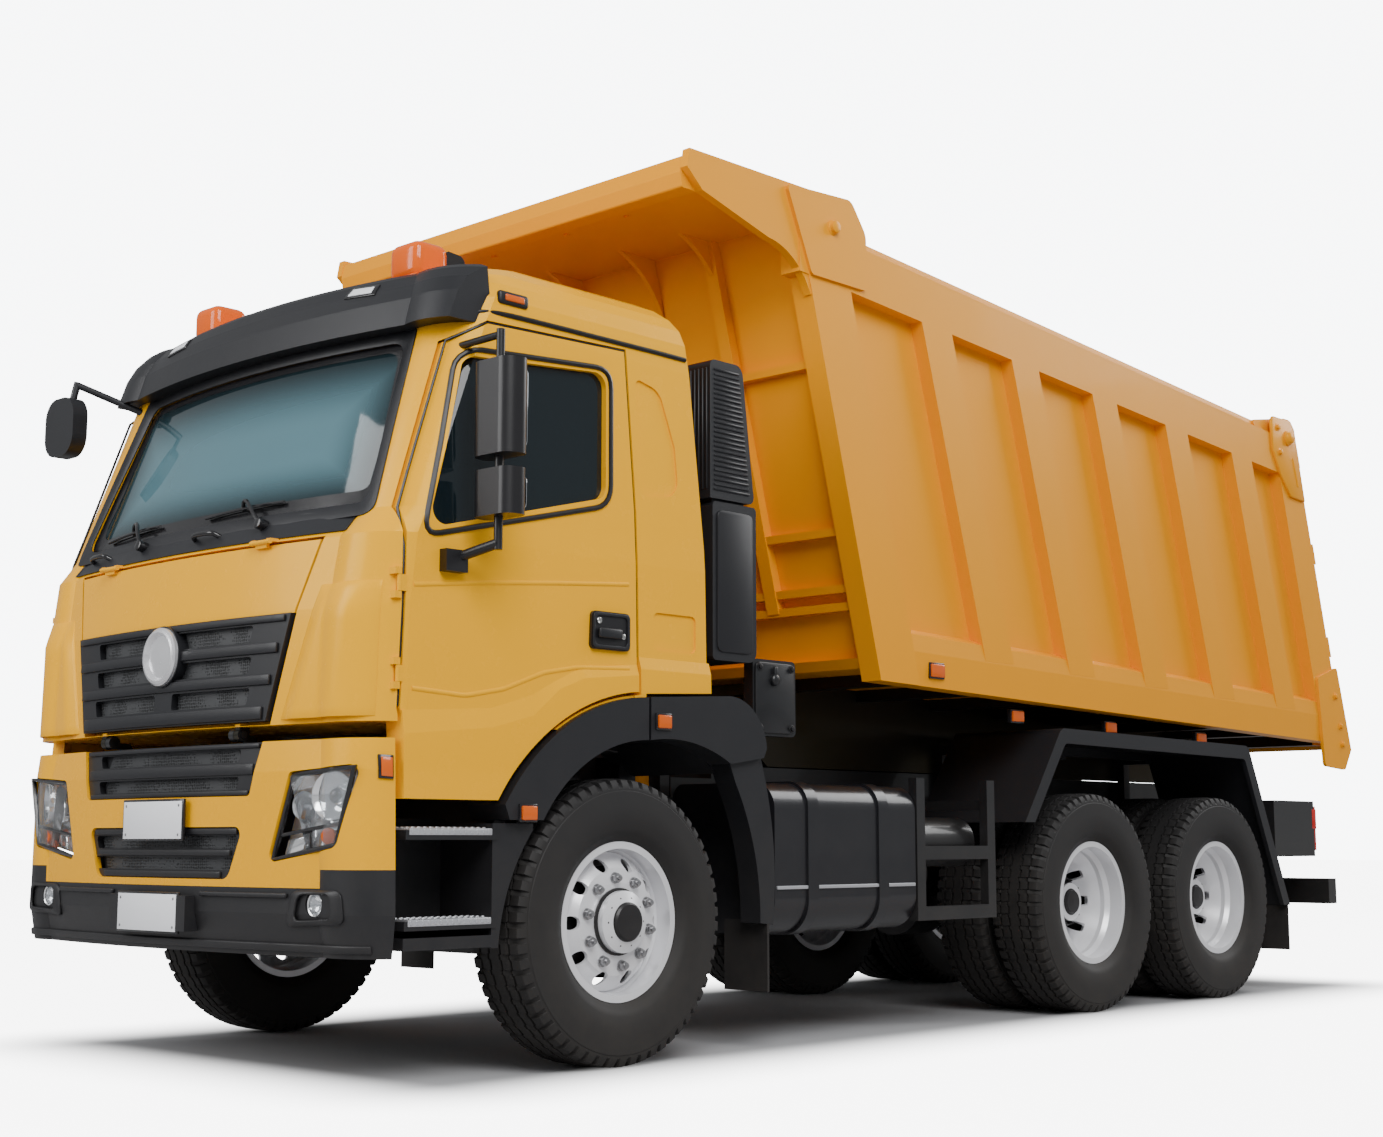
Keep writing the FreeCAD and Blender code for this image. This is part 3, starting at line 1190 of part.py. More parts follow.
def low_line(x):
    """Height of the bed's lower edge at station x."""
    share = (x - BED_LOW_FRONT[0]) / (BED_LOW_REAR[0] - BED_LOW_FRONT[0])
    return BED_LOW_FRONT[1] + share * (BED_LOW_REAR[1] - BED_LOW_FRONT[1])


def front_x(z):
    return BED_LOW_FRONT[0] + (z - BED_LOW_FRONT[1]) * BED_LEAN


def rear_x(z):
    return BED_LOW_REAR[0] + (z - BED_LOW_REAR[1]) * BED_LEAN


def top_line(x):
    """Height of the side's upper edge at station x."""
    front = front_x(BED_TOP_FRONT)
    back = rear_x(BED_TOP_REAR)
    return BED_TOP_FRONT + (x - front) / (back - front) * (BED_TOP_REAR - BED_TOP_FRONT)


POST_WIDE = 290.0
RAIL_DEEP = 225.0
SILL_DEEP = 155.0
FLOOR_RISE = 60.0


def side_wall():
    """Left side wall: plate, sloping sill, top rail, leaning ribs and end posts."""
    out = BED_HALF
    skin = BED_HALF - RIB_DEEP
    inside = skin - BED_WALL
    z0 = BED_LOW_FRONT[1]
    z1 = BED_LOW_REAR[1]
    outline = [(BED_LOW_FRONT[0], z0), (front_x(BED_TOP_FRONT), BED_TOP_FRONT),
               (rear_x(BED_TOP_REAR), BED_TOP_REAR), (BED_LOW_REAR[0], z1)]
    plate = side_prism(outline, inside, skin)
    span_x = BED_LOW_REAR[0] - BED_LOW_FRONT[0]
    sill_face = Part.Face(Part.makePolygon([V(at(BED_LOW_FRONT[0] + 300), y,
                                              z0 - (z1 - z0) / span_x * -300 + z)
                                            for y, z in ((inside, 0), (out - 8, 0), (out, SILL_DEEP),
                                                         (out - 6, SILL_DEEP + 80), (skin - 5,
                                                                                     SILL_DEEP + 112),
                                                         (inside, SILL_DEEP + 112), (inside, 0))]))
    sill = sill_face.extrude(V(span_x - 600, 0, (z1 - z0) * (span_x - 600) / span_x))
    block = side_prism(outline, inside - 5, out + 5)
    sill = sill.common(block)
    front = front_x(BED_TOP_FRONT)
    back = rear_x(BED_TOP_REAR)
    rail_face = Part.Face(Part.makePolygon([V(at(front), y, BED_TOP_FRONT + z)
                                            for y, z in ((inside, -RAIL_DEEP), (out, -RAIL_DEEP), (out, 0),
                                                         (out - 35, 8), (out - 40, 48), (inside, 48),
                                                         (inside, -RAIL_DEEP))]))
    rail = rail_face.extrude(V(back - front, 0, BED_TOP_REAR - BED_TOP_FRONT))
    pieces = [plate, sill, rail]
    for i in range(RIB_COUNT):
        x = RIB_FIRST - i * RIB_PITCH
        z_low = low_line(x) + SILL_DEEP
        z_high = top_line(x) - 60
        mid = 2540.0
        pieces.append(side_prism([(x + (z_low - mid) * RIB_LEAN, z_low), (x + (z_high - mid) * RIB_LEAN,
                                                                          z_high),
                                  (x - RIB_WIDE + (z_high - mid) * RIB_LEAN, z_high),
                                  (x - RIB_WIDE + (z_low - mid) * RIB_LEAN, z_low)], skin - 1, out))
    top = BED_TOP_FRONT
    pieces.append(side_prism([(BED_LOW_FRONT[0], z0), (front_x(top), top), (front_x(top) - POST_WIDE, top),
                              (BED_LOW_FRONT[0] - POST_WIDE, low_line(BED_LOW_FRONT[0] - POST_WIDE))],
                             inside, out))
    top = BED_TOP_REAR
    pieces.append(side_prism([(BED_LOW_REAR[0], z1), (rear_x(top), top), (rear_x(top) + 250, top),
                              (BED_LOW_REAR[0] + 250, low_line(BED_LOW_REAR[0] + 250))], inside, out))
    return fuse(pieces)


RIB_FIRST = -2172.0


def bed_tub():
    """Floor with cross bearers, long sills and hinge lugs, between the ribbed side walls."""
    wall = side_wall()
    inside = BED_HALF - RIB_DEEP - BED_WALL
    x0, z0 = BED_LOW_FRONT
    x1, z1 = BED_LOW_REAR
    low = FLOOR_RISE
    high = FLOOR_RISE + FLOOR_PLATE
    floor = side_prism([(x0, z0 + low), (front_x(z0 + high), z0 + high), (rear_x(z1 + high) + 1, z1 + high),
                        (rear_x(z1 + low) + 1, z1 + low)], -inside - 1, inside + 1)
    pieces = [wall, mirrored(wall), floor]
    sill_low = RAIL_TOP + SUB_H + 6
    sill_end = HINGE_X + HINGE_CLEAR
    for side in (-1, 1):
        a = side * (RAIL_OUT - SUB_W)
        b = side * RAIL_OUT
        pieces.append(side_prism([(x0 - 40, sill_low + 60), (x0 - 120, sill_low), (sill_end, sill_low),
                                  (sill_end, low_line(sill_end) + low + 5), (x0 - 40, z0 + low + 5)], a, b))
        lug = side_prism([(HINGE_X - 75, HINGE_Z - 65, 60), (HINGE_X + 75, HINGE_Z - 65, 60),
                          (HINGE_X + 120, low_line(HINGE_X) + low + 5),
                          (HINGE_X - 120, low_line(HINGE_X) + low + 5)],
                         side * (RAIL_OUT + 8), side * (RAIL_OUT + 48))
        pieces.append(lug)
    for i in range(7):
        x = x0 - 250 - i * 600
        pieces.append(box(x - 45, x + 45, -inside - 1, inside + 1, low_line(x) + 5, low_line(x) + low + 5))
    pieces.append(box(x1 + 20, x1 + 160, -inside - 1, inside + 1, z1 - 10, z1 + low + 5))
    bore = rod((HINGE_X, -600, HINGE_Z), (HINGE_X, 600, HINGE_Z), HINGE_R + RUNNING)
    return fuse(pieces).cut(bore)


CANOPY_TIP = -345.0
WALL_SETBACK = 60.0
HEAD_TOP = 3640.0


def headboard():
    """Leaning front wall with its ribs, the canopy over the cab and the corner plates."""
    inside = BED_HALF - RIB_DEEP - BED_WALL
    low = 1850.0

    def wall_x(z, depth):
        return front_x(z) - WALL_SETBACK - depth

    def slab(z0, z1, near, far, y0, y1):
        return side_prism([(wall_x(z0, near), z0), (wall_x(z1, near), z1), (wall_x(z1, far), z1),
                           (wall_x(z0, far), z0)], y0, y1)

    def tip(back, up, *corner):
        """A point this far behind the canopy's tip and above the wall's top."""
        return (CANOPY_TIP - back, HEAD_TOP + up) + corner
    foot = BED_LOW_FRONT[1] + FLOOR_RISE + FLOOR_PLATE + GAP
    wall = slab(foot, HEAD_TOP, 0, 45, -inside + GAP, inside - GAP)
    pieces = [wall]
    for z in (2970, 2235, 1985, 1905):
        pieces.append(slab(z - 18, z + 18, -45, 5, -inside + GAP, inside - GAP))
    for y in (640, -640):
        pieces.append(slab(low + 50, HEAD_TOP - 40, -50, 5, y - 35, y + 35))
    roof = side_prism([(wall_x(HEAD_TOP, 45), HEAD_TOP - 50), (CANOPY_TIP - 30, HEAD_TOP - 40),
                       (CANOPY_TIP - 30, HEAD_TOP + 5), (wall_x(HEAD_TOP, 45), HEAD_TOP + 5)],
                      -inside, inside)
    beam = side_prism([(CANOPY_TIP - 105, HEAD_TOP - 80, 10), (CANOPY_TIP - 12, HEAD_TOP - 80, 10),
                       (CANOPY_TIP, HEAD_TOP - 15, 10), (CANOPY_TIP - 15, HEAD_TOP + 60, 10),
                       (CANOPY_TIP - 105, HEAD_TOP + 60, 10)], -BED_HALF + 45, BED_HALF - 45)
    pieces += [roof, beam]
    foot = HEAD_TOP - 320
    top = HEAD_TOP - 20
    for y in (250, 640, -250, -640):
        pieces.append(arch_prism([(wall_x(foot, -10), foot), (wall_x(top, 20), top), (CANOPY_TIP - 200, top),
                                  (CANOPY_TIP - 200, top - 30),
                                  ("arc", (CANOPY_TIP - 665, top - 90), (wall_x(foot, -10), foot))],
                                 y - 12, y + 12))
    for side in (-1, 1):
        y0 = side * (BED_HALF - 45)
        y1 = side * (BED_HALF - 5)
        wing = arch_prism([tip(15, 82), tip(0, 0), tip(95, -82), tip(515, -192),
                           ("arc", tip(705, -270), tip(795, -390)), tip(955, -240), tip(1055, 95)],
                          min(y0, y1), max(y0, y1))
        pieces.append(wing)
        plate = side_prism([tip(618, 72, 20), tip(784, -302, 30), tip(1167, -301, 10), tip(1172, -40, 90),
                            tip(1065, 102, 60)], side * (BED_HALF - 6), side * (BED_HALF + 14))
        x, z = tip(934, -57)
        pin = rod((x, side * (BED_HALF - 40), z), (x, side * (BED_HALF + 32), z), 24)
        pieces += [plate, pin]
    cheek_y = 75.0
    for side in (-1, 1):
        cheek = side_prism([(wall_x(HOIST_EYE_Z - 130, 10), HOIST_EYE_Z - 130),
                            (HOIST_EYE_X + 60, HOIST_EYE_Z - 60, 50), (HOIST_EYE_X + 60, HOIST_EYE_Z + 60,
                                                                       50),
                            (wall_x(HOIST_EYE_Z + 130, 10), HOIST_EYE_Z + 130)],
                           side * cheek_y, side * (cheek_y + 25))
        bore = rod((HOIST_EYE_X, side * 60, HOIST_EYE_Z), (HOIST_EYE_X, side * 120, HOIST_EYE_Z),
                   26 + RUNNING)
        pieces.append(cheek.cut(bore))
    wall = side_wall()
    return fuse(pieces).cut([wall, mirrored(wall)])


GATE_HINGE_X = BOGIE - 1705
GATE_HINGE_Z = 3350.0


def tailgate():
    """Top-hinged gate that closes the rear opening."""
    z0 = BED_LOW_REAR[1] - 30
    z1 = BED_TOP_REAR - 20
    thick = 60.0
    edge = BED_HALF - 10
    hx = GATE_HINGE_X
    hz = GATE_HINGE_Z

    def leaf(z, depth):
        return rear_x(z) - SHUT / 2 - depth

    def slab(low, high, near, far, y0, y1):
        return side_prism([(leaf(low, near), low), (leaf(high, near), high), (leaf(high, far), high),
                           (leaf(low, far), low)], y0, y1)
    pieces = [slab(z0, z1, 0, 30, -edge, edge)]
    for z in (z0, z0 + 560, z0 + 1120, z1 - 120):
        pieces.append(slab(z, z + 120, 25, thick, -edge, edge))
    for y in (-BED_HALF + 80, -400, 400, BED_HALF - 80):
        pieces.append(slab(z0, z1, 25, thick, y - 60, y + 60))
    for side in (-1, 1):
        y0 = side * (BED_HALF - 100)
        y1 = side * (BED_HALF - 60)
        pieces.append(rod((hx, y0, hz), (hx, y1, hz), 38))
        pieces.append(side_prism([(hx - 36, hz + 8), (hx, hz - 37), (leaf(z1, 0), z1), (leaf(z1 - 150, 0),
                                                                                        z1 - 150),
                                  (leaf(z1 - 150, thick), z1 - 150), (leaf(z1, thick), z1)], y0, y1))
    bore = rod((hx, -1300, hz), (hx, 1300, hz), 20 + RUNNING)
    return fuse(pieces).cut(bore)


def gate_brackets():
    """Hinge brackets on the bed's rear corners with their pins, and the gate lock plates."""
    hx = GATE_HINGE_X
    hz = GATE_HINGE_Z
    rear = REAR_2 - REAR_OVERHANG
    pieces = []
    for side in (-1, 1):
        pieces.append(side_prism([(hx - 50, hz + 50, 45), (hx + 60, hz + 50, 45), (hx + 470, 3330, 20),
                                  (hx + 380, 3240), (hx + 150, 3230), (hx - 25, 3255)],
                                 side * (BED_HALF - 55), side * (BED_HALF - 25)))
        pieces.append(rod((hx, side * (BED_HALF - 110), hz), (hx, side * (BED_HALF - 10), hz), 20))
        pieces.append(side_prism([(-5865, 1832, 20), (-6127, 1909, 20), (rear, 1411), (-6188, 1286, 30),
                                  (-5921, 1303, 30)], side * (BED_HALF - 5), side * (BED_HALF + 14)))
    return pieces


def export(name, shapes):
    """Writes one node; several solids that do not touch go in as a compound."""
    if not isinstance(shapes, list):
        shapes = [shapes]
    solids = [s for shape in shapes for s in shape.Solids]
    shape = solids[0] if len(solids) == 1 else Part.makeCompound(solids)
    shape.exportStep(os.path.join("parts", name + ".step"))
    box_size = shape.BoundBox
    print("%-18s %d solids  x %.0f %.0f  y %.0f %.0f  z %.0f %.0f  valid %s" % (
        name, len(solids), box_size.XMin, box_size.XMax, box_size.YMin, box_size.YMax,
        box_size.ZMin, box_size.ZMax, shape.isValid()))


def sided(name, shapes):
    """Writes a left node and its mirrored right twin."""
    shapes = shapes if isinstance(shapes, list) else [shapes]
    export(name + "_left", shapes)
    export(name + "_right", [mirrored(s) for s in shapes])


def main():
    os.makedirs("parts", exist_ok=True)
    export("chassis_frame", chassis_frame())
    export("subframe", subframe())
    export("front_axle", front_axle())
    export("rear_axles", rear_axles())
    export("rear_suspension", rear_suspension())
    export("driveline", driveline())
    export("fuel_tank", fuel_tank())
    export("side_equipment", side_equipment())
    export("side_guards", side_guards())
    export("cab_steps", cab_steps())
    export("lower_panel", lower_panel())
    export("front_bumper", front_bumper())
    export("lower_grille", lower_grille())
    export("front_lamps", front_lamps())
    export("rear_flares", rear_flares())
    export("air_intake", air_intake())
    export("rear_mudguards", rear_mudguards())
    export("mud_flaps", mud_flaps())
    export("rear_bumper", rear_bumper())
    export("tail_lamps", tail_lamps())
    export("cab_shell", cab_shell())
    export("cab_glass", cab_glass())
    export("cowl", cowl())
    export("sun_visor", sun_visor())
    export("beacons", beacons())
    export("roof_fittings", roof_fittings())
    export("cab_seats", cab_seats())
    export("dashboard", dashboard())
    export("front_flares", front_flares())
    export("cab_flap", cab_flap())
    export("upper_grille", upper_grille())
    sided("door", door())
    sided("door_glass", door_glass())
    export("door_fittings_left", door_fittings(MIRROR_X))
    export("door_fittings_right", [mirrored(s) for s in door_fittings(MIRROR_X_RIGHT)])
    sided("knuckle", knuckle())
    wheel_y = TYRE_OUT - TYRE_W / 2
    sided("front_tyre", tyre(0, wheel_y))
    sided("front_rim", front_rim(wheel_y))
    for number, x in ((1, REAR_1), (2, REAR_2)):
        sided("rear_tyres_%d" % number, [tyre(x, wheel_y), tyre(x, wheel_y - TWIN_PITCH)])
        sided("rear_rims_%d" % number, rear_rims(x))
    export("hoist_barrel", hoist_barrel())
    for index in (1, 2, 3):
        export("hoist_stage_%d" % index, hoist_stage(index))
    export("bed_tub", fuse([bed_tub()] + gate_brackets()))
    export("headboard", headboard())
    export("tailgate", tailgate())


main()
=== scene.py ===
import math

import bmesh
import bpy
from bpy.props import FloatProperty, FloatVectorProperty, IntProperty, PointerProperty
from mathutils import Matrix, Vector


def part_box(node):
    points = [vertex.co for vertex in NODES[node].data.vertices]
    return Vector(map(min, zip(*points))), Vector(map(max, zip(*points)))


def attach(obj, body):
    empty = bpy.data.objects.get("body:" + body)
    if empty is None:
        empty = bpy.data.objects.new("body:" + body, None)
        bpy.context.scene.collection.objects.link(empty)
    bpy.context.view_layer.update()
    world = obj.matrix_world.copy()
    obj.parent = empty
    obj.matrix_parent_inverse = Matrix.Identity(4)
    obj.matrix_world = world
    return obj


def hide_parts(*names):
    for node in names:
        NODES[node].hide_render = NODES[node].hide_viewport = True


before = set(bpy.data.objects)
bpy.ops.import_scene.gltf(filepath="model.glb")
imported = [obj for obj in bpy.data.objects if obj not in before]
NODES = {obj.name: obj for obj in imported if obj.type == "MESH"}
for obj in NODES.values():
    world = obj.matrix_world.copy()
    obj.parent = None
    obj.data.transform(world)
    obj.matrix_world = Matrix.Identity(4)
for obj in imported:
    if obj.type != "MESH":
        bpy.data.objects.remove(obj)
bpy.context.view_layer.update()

bl_info = {
    "name": "Dump truck dressing",
    "version": (1, 0, 0),
    "blender": (4, 5, 0),
    "location": "View3D > Sidebar > Dump truck",
    "description": "Tyres, lamps, trim and finishes for a three-axle dump truck",
    "category": "Object",
}

# Stations along the truck are given from the front axle, in metres, as in the part's source.
TYRE_LOW, TYRE_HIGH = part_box("front_tyre_left")
AXLE_X = (TYRE_LOW.x + TYRE_HIGH.x) / 2
WHEEL_R = TYRE_HIGH.z / 2
TYRE_OUT = TYRE_HIGH.y
TYRE_MIDDLE = TYRE_OUT - (TYRE_HIGH.y - TYRE_LOW.y) / 2
TWIN_PITCH = 0.335
AXLES = {"front": 0.0, "rear_1": -3.36, "rear_2": -4.63}
SIDES = {"left": 1, "right": -1}


def at(x, y, z):
    """A point given from the front axle, in the row frame."""
    return Vector((AXLE_X + x, y, z))


# Sizes and colours


class TruckSizes(bpy.types.PropertyGroup):
    tread_depth: FloatProperty(
        name="Tread depth", description="Depth of the tyres' grooves",
        default=0.013, min=0.002, max=0.02, unit="LENGTH")
    tread_pitches: IntProperty(
        name="Tread blocks", description="Shoulder blocks round each tyre", default=58, min=24, max=90)
    nut_size: FloatProperty(
        name="Wheel nut", description="Width across the flats of a wheel nut",
        default=0.033, min=0.02, max=0.05, unit="LENGTH")
    seal_width: FloatProperty(
        name="Window seal", description="Radius of the rubber bead round a window",
        default=0.011, min=0.004, max=0.03, unit="LENGTH")


class TruckColours(bpy.types.PropertyGroup):
    cab_paint: FloatVectorProperty(
        name="Cab paint", description="Paint of the cab and the front panel", subtype="COLOR",
        size=3, default=(0.94, 0.44, 0.0), min=0, max=1)
    bed_paint: FloatVectorProperty(
        name="Bed paint", description="Paint of the bed and the tailgate", subtype="COLOR",
        size=3, default=(0.88, 0.34, 0.0), min=0, max=1)
    trim: FloatVectorProperty(
        name="Black trim", description="Moulded trim, bumper and wheel arches", subtype="COLOR",
        size=3, default=(0.012, 0.013, 0.016), min=0, max=1)
    frame_paint: FloatVectorProperty(
        name="Frame paint", description="Paint of the frame, tank and guards", subtype="COLOR",
        size=3, default=(0.009, 0.010, 0.012), min=0, max=1)
    rim_paint: FloatVectorProperty(
        name="Wheel paint", description="Paint of the rims", subtype="COLOR",
        size=3, default=(0.86, 0.86, 0.88), min=0, max=1)
    marker: FloatVectorProperty(
        name="Marker lamps", description="Lenses of the side markers", subtype="COLOR",
        size=3, default=(0.95, 0.16, 0.01), min=0, max=1)


def sizes():
    return bpy.context.scene.truck_sizes


def colours():
    return bpy.context.scene.truck_colours


# Finishes


def new_group(name, given, made):
    """A node group with its inputs as (name, kind, default) and its outputs as (name, kind)."""
    group = bpy.data.node_groups.new(name, "ShaderNodeTree")
    for title, kind, default in given:
        socket = group.interface.new_socket(name=title, in_out="INPUT", socket_type="NodeSocket" + kind)
        if default is not None:
            socket.default_value = default
    for title, kind in made:
        group.interface.new_socket(name=title, in_out="OUTPUT", socket_type="NodeSocket" + kind)
    return group, group.nodes.new("NodeGroupInput").outputs, group.nodes.new("NodeGroupOutput").inputs


def fill(node, values):
    """Sets a node's inputs by name."""
    for name, value in values.items():
        node.inputs[name].default_value = value


def link(tree, source, target):
    tree.links.new(source, target)


def math_node(tree, operation, first, second, clamp=False):
    node = tree.nodes.new("ShaderNodeMath")
    node.operation = operation
    node.use_clamp = clamp
    for socket, value in zip(node.inputs, (first, second)):
        if isinstance(value, (int, float)):
            socket.default_value = value
        else:
            link(tree, value, socket)
    return node.outputs[0]


def noise_node(tree, vector, scale, detail=3.0, roughness=0.5):
    node = tree.nodes.new("ShaderNodeTexNoise")
    node.inputs["Detail"].default_value = detail
    node.inputs["Roughness"].default_value = roughness
    if isinstance(scale, (int, float)):
        node.inputs["Scale"].default_value = scale
    else:
        link(tree, scale, node.inputs["Scale"])
    link(tree, vector, node.inputs["Vector"])
    return node.outputs["Fac"]


def mix_colour(tree, factor, first, second):
    node = tree.nodes.new("ShaderNodeMix")
    node.data_type = "RGBA"
    link(tree, factor, node.inputs["Factor"])
    for name, value in (("A", first), ("B", second)):
        socket = [s for s in node.inputs if s.name == name and s.type == "RGBA"][0]
        if isinstance(value, tuple):
            socket.default_value = value
        else:
            link(tree, value, socket)
    return [s for s in node.outputs if s.type == "RGBA"][0]


def axes(tree, place):
    """The outputs X, Y and Z of a place."""
    split = tree.nodes.new("ShaderNodeSeparateXYZ")
    link(tree, place, split.inputs[0])
    return split.outputs


def ramp(tree, value, start, end, smooth=False):
    """A value carried to 0 at start and to 1 at end."""
    fade = tree.nodes.new("ShaderNodeMapRange")
    if smooth:
        fade.interpolation_type = "SMOOTHSTEP"
    fill(fade, {"From Min": start, "From Max": end})
    link(tree, value, fade.inputs["Value"])
    return fade.outputs[0]


def raised(tree, height, strength, distance):
    """The normal of a bump, its distance in metres."""
    bump = tree.nodes.new("ShaderNodeBump")
    fill(bump, {"Strength": strength, "Distance": distance})
    link(tree, height, bump.inputs["Height"])
    return bump.outputs[0]


def grouped(tree, group, place, values):
    """A group's node on the object's coordinates."""
    node = tree.nodes.new("ShaderNodeGroup")
    node.node_tree = group
    link(tree, place, node.inputs["Vector"])
    fill(node, values)
    return node


DEEP_TONE = (0.02, 0.012, 0.006, 1)
ROAD_DUST = (0.30, 0.25, 0.19, 1)
DUST_HEIGHTS = (1.3, 0.1)


def finish_group():
    """Tone that drifts over a surface, road dust low down, and a fine grain."""
    group, given, made = new_group(
        "surface_finish",
        (("Vector", "Vector", None), ("Colour", "Color", (0.5, 0.5, 0.5, 1)), ("Tone", "Float", 0.1),
         ("Dust", "Float", 0.2), ("Roughness", "Float", 0.4), ("Grain scale", "Float", 600.0)),
        (("Colour", "Color"), ("Roughness", "Float"), ("Height", "Float")))
    vector = given["Vector"]
    drift = noise_node(group, vector, 1.7, 4.0)
    patches = noise_node(group, vector, 9.0, 6.0, 0.65)
    grain = noise_node(group, vector, given["Grain scale"], 2.0)
    dark = mix_colour(group, math_node(group, "MULTIPLY", drift, given["Tone"], True), given["Colour"],
                      DEEP_TONE)
    low = ramp(group, axes(group, vector)["Z"], *DUST_HEIGHTS)
    dust = math_node(group, "MULTIPLY", math_node(group, "MULTIPLY", low, patches), given["Dust"], True)
    colour = mix_colour(group, dust, dark, ROAD_DUST)
    spread = math_node(group, "MULTIPLY", math_node(group, "SUBTRACT", patches, 0.5), 0.14)
    rough = math_node(group, "ADD", math_node(group, "ADD", given["Roughness"], spread), dust, True)
    link(group, colour, made["Colour"])
    link(group, rough, made["Roughness"])
    link(group, grain, made["Height"])
    return group


def honeycomb_group():
    """A honeycomb of holes on the object's coordinates, for the grilles' mesh."""
    group, given, made = new_group("honeycomb", (("Vector", "Vector", None), ("Scale", "Float", 200.0)),
                                   (("Mask", "Float"),))
    cells = group.nodes.new("ShaderNodeTexVoronoi")
    link(group, given["Vector"], cells.inputs["Vector"])
    link(group, given["Scale"], cells.inputs["Scale"])
    cells.inputs["Randomness"].default_value = 0.25
    link(group, ramp(group, cells.outputs["Distance"], 0.25, 0.42), made["Mask"])
    return group


# Name: colour, metallic, roughness, coat, tone, dust, grain scale, grain height in metres
FINISHES = {
    "cab_yellow": ("cab_paint", 0.0, 0.26, 0.04, 0.04, 0.04, 900.0, 0.00002),
    "bed_yellow": ("bed_paint", 0.0, 0.42, 0.05, 0.08, 0.06, 500.0, 0.00005),
    "tub_yellow": ("bed_paint", 0.0, 0.42, 0.05, 0.08, 0.06, 500.0, 0.00005),
    "hoist_yellow": ("bed_paint", 0.0, 0.45, 0.2, 0.25, 0.2, 400.0, 0.00008),
    "black_trim": ("trim", 0.0, 0.42, 0.0, 0.12, 0.06, 1400.0, 0.00010),
    "gloss_black": ((0.012, 0.012, 0.014), 0.0, 0.22, 0.3, 0.1, 0.03, 900.0, 0.00002),
    "frame_black": ("frame_paint", 0.0, 0.38, 0.25, 0.15, 0.10, 300.0, 0.00012),
    "tank_black": ((0.014, 0.015, 0.019), 0.2, 0.30, 0.3, 0.10, 0.06, 500.0, 0.00004),
    "wheel_silver": ("rim_paint", 0.30, 0.30, 0.2, 0.06, 0.03, 900.0, 0.00003),
    "nut_steel": ((0.42, 0.42, 0.43), 1.0, 0.33, 0.0, 0.15, 0.05, 700.0, 0.00004),
    "hub_black": ((0.014, 0.014, 0.016), 0.2, 0.40, 0.1, 0.15, 0.05, 300.0, 0.00012),
    "tyre_rubber": ((0.009, 0.0095, 0.011), 0.0, 0.62, 0.0, 0.20, 0.10, 350.0, 0.00020),
    "flap_rubber": ((0.009, 0.009, 0.011), 0.0, 0.60, 0.0, 0.20, 0.12, 250.0, 0.00030),
    "seal_rubber": ((0.008, 0.008, 0.009), 0.0, 0.38, 0.0, 0.05, 0.0, 900.0, 0.00005),
    "seat_cloth": ((0.05, 0.05, 0.055), 0.0, 0.85, 0.0, 0.15, 0.0, 700.0, 0.0004),
    "rod_steel": ((0.62, 0.62, 0.60), 1.0, 0.20, 0.0, 0.10, 0.0, 900.0, 0.00002),
    "engine_iron": ((0.11, 0.115, 0.12), 0.3, 0.60, 0.0, 0.30, 0.20, 120.0, 0.0006),
    "step_metal": ((0.66, 0.67, 0.70), 0.8, 0.38, 0.0, 0.10, 0.05, 700.0, 0.00008),
    "plate_white": ((0.88, 0.89, 0.92), 0.0, 0.35, 0.3, 0.03, 0.0, 900.0, 0.00002),
    "mirror_glass": ((0.70, 0.73, 0.76), 1.0, 0.04, 0.0, 0.04, 0.0, 900.0, 0.00001),
    "badge_grey": ((0.80, 0.80, 0.82), 0.6, 0.25, 0.4, 0.05, 0.0, 900.0, 0.00002),
    "lamp_chrome": ((0.92, 0.93, 0.94), 0.75, 0.14, 0.0, 0.05, 0.0, 900.0, 0.00001),
    "mirror_black": ((0.010, 0.010, 0.012), 0.0, 0.36, 0.1, 0.08, 0.02, 1200.0, 0.00006),
}
# Name: colour, roughness, transmission
GLASSES = {
    "screen_glass": ((0.17, 0.34, 0.40), 0.03, 0.50),
    "side_glass": ((0.012, 0.022, 0.028), 0.03, 0.45),
    "lamp_glass": ((0.93, 0.95, 0.97), 0.02, 0.95),
    "amber_glass": ("marker", 0.12, 0.25),
    "beacon_glass": ((0.95, 0.14, 0.0), 0.10, 0.12),
    "red_glass": ((0.75, 0.02, 0.01), 0.12, 0.25),
}
MATERIALS = {}

# Heights of the gap between the cab and the front panel, where shade is painted on the cab, and the station
# that it lies ahead of
GAP_LOW = 1.211
GAP_HIGH = 1.2675
GAP_BACK = 1.13
# The top of the tub's floor beams: its height at the row's origin, its slope, and the beams' half width
TUB_FLOOR = 1.603
TUB_SLOPE = 0.0266
BEAM_HALF = 1.09
# Ramps of the painted shade on the windscreen: towards its top, its foot and its sides
SHADE_TOP = (2.42, 2.72)
SHADE_FOOT = (2.30, 2.08)
SHADE_SIDE = (0.60, 0.96)
# The colour of the windscreen's painted shade
SCREEN_SHADE_COLOUR = (0.010, 0.022, 0.027, 1)
YELLOW_SHINE = (1.0, 0.72, 0.12, 1)


def new_material(name):
    material = bpy.data.materials.new(name)
    material.use_nodes = True
    tree = material.node_tree
    tree.nodes.clear()
    output = tree.nodes.new("ShaderNodeOutputMaterial")
    shader = tree.nodes.new("ShaderNodeBsdfPrincipled")
    link(tree, shader.outputs[0], output.inputs["Surface"])
    place = tree.nodes.new("ShaderNodeTexCoord").outputs["Object"]
    MATERIALS[name] = material
    return tree, shader, place


def colour_of(spec):
    value = getattr(colours(), spec) if isinstance(spec, str) else spec
    return (value[0], value[1], value[2], 1.0)


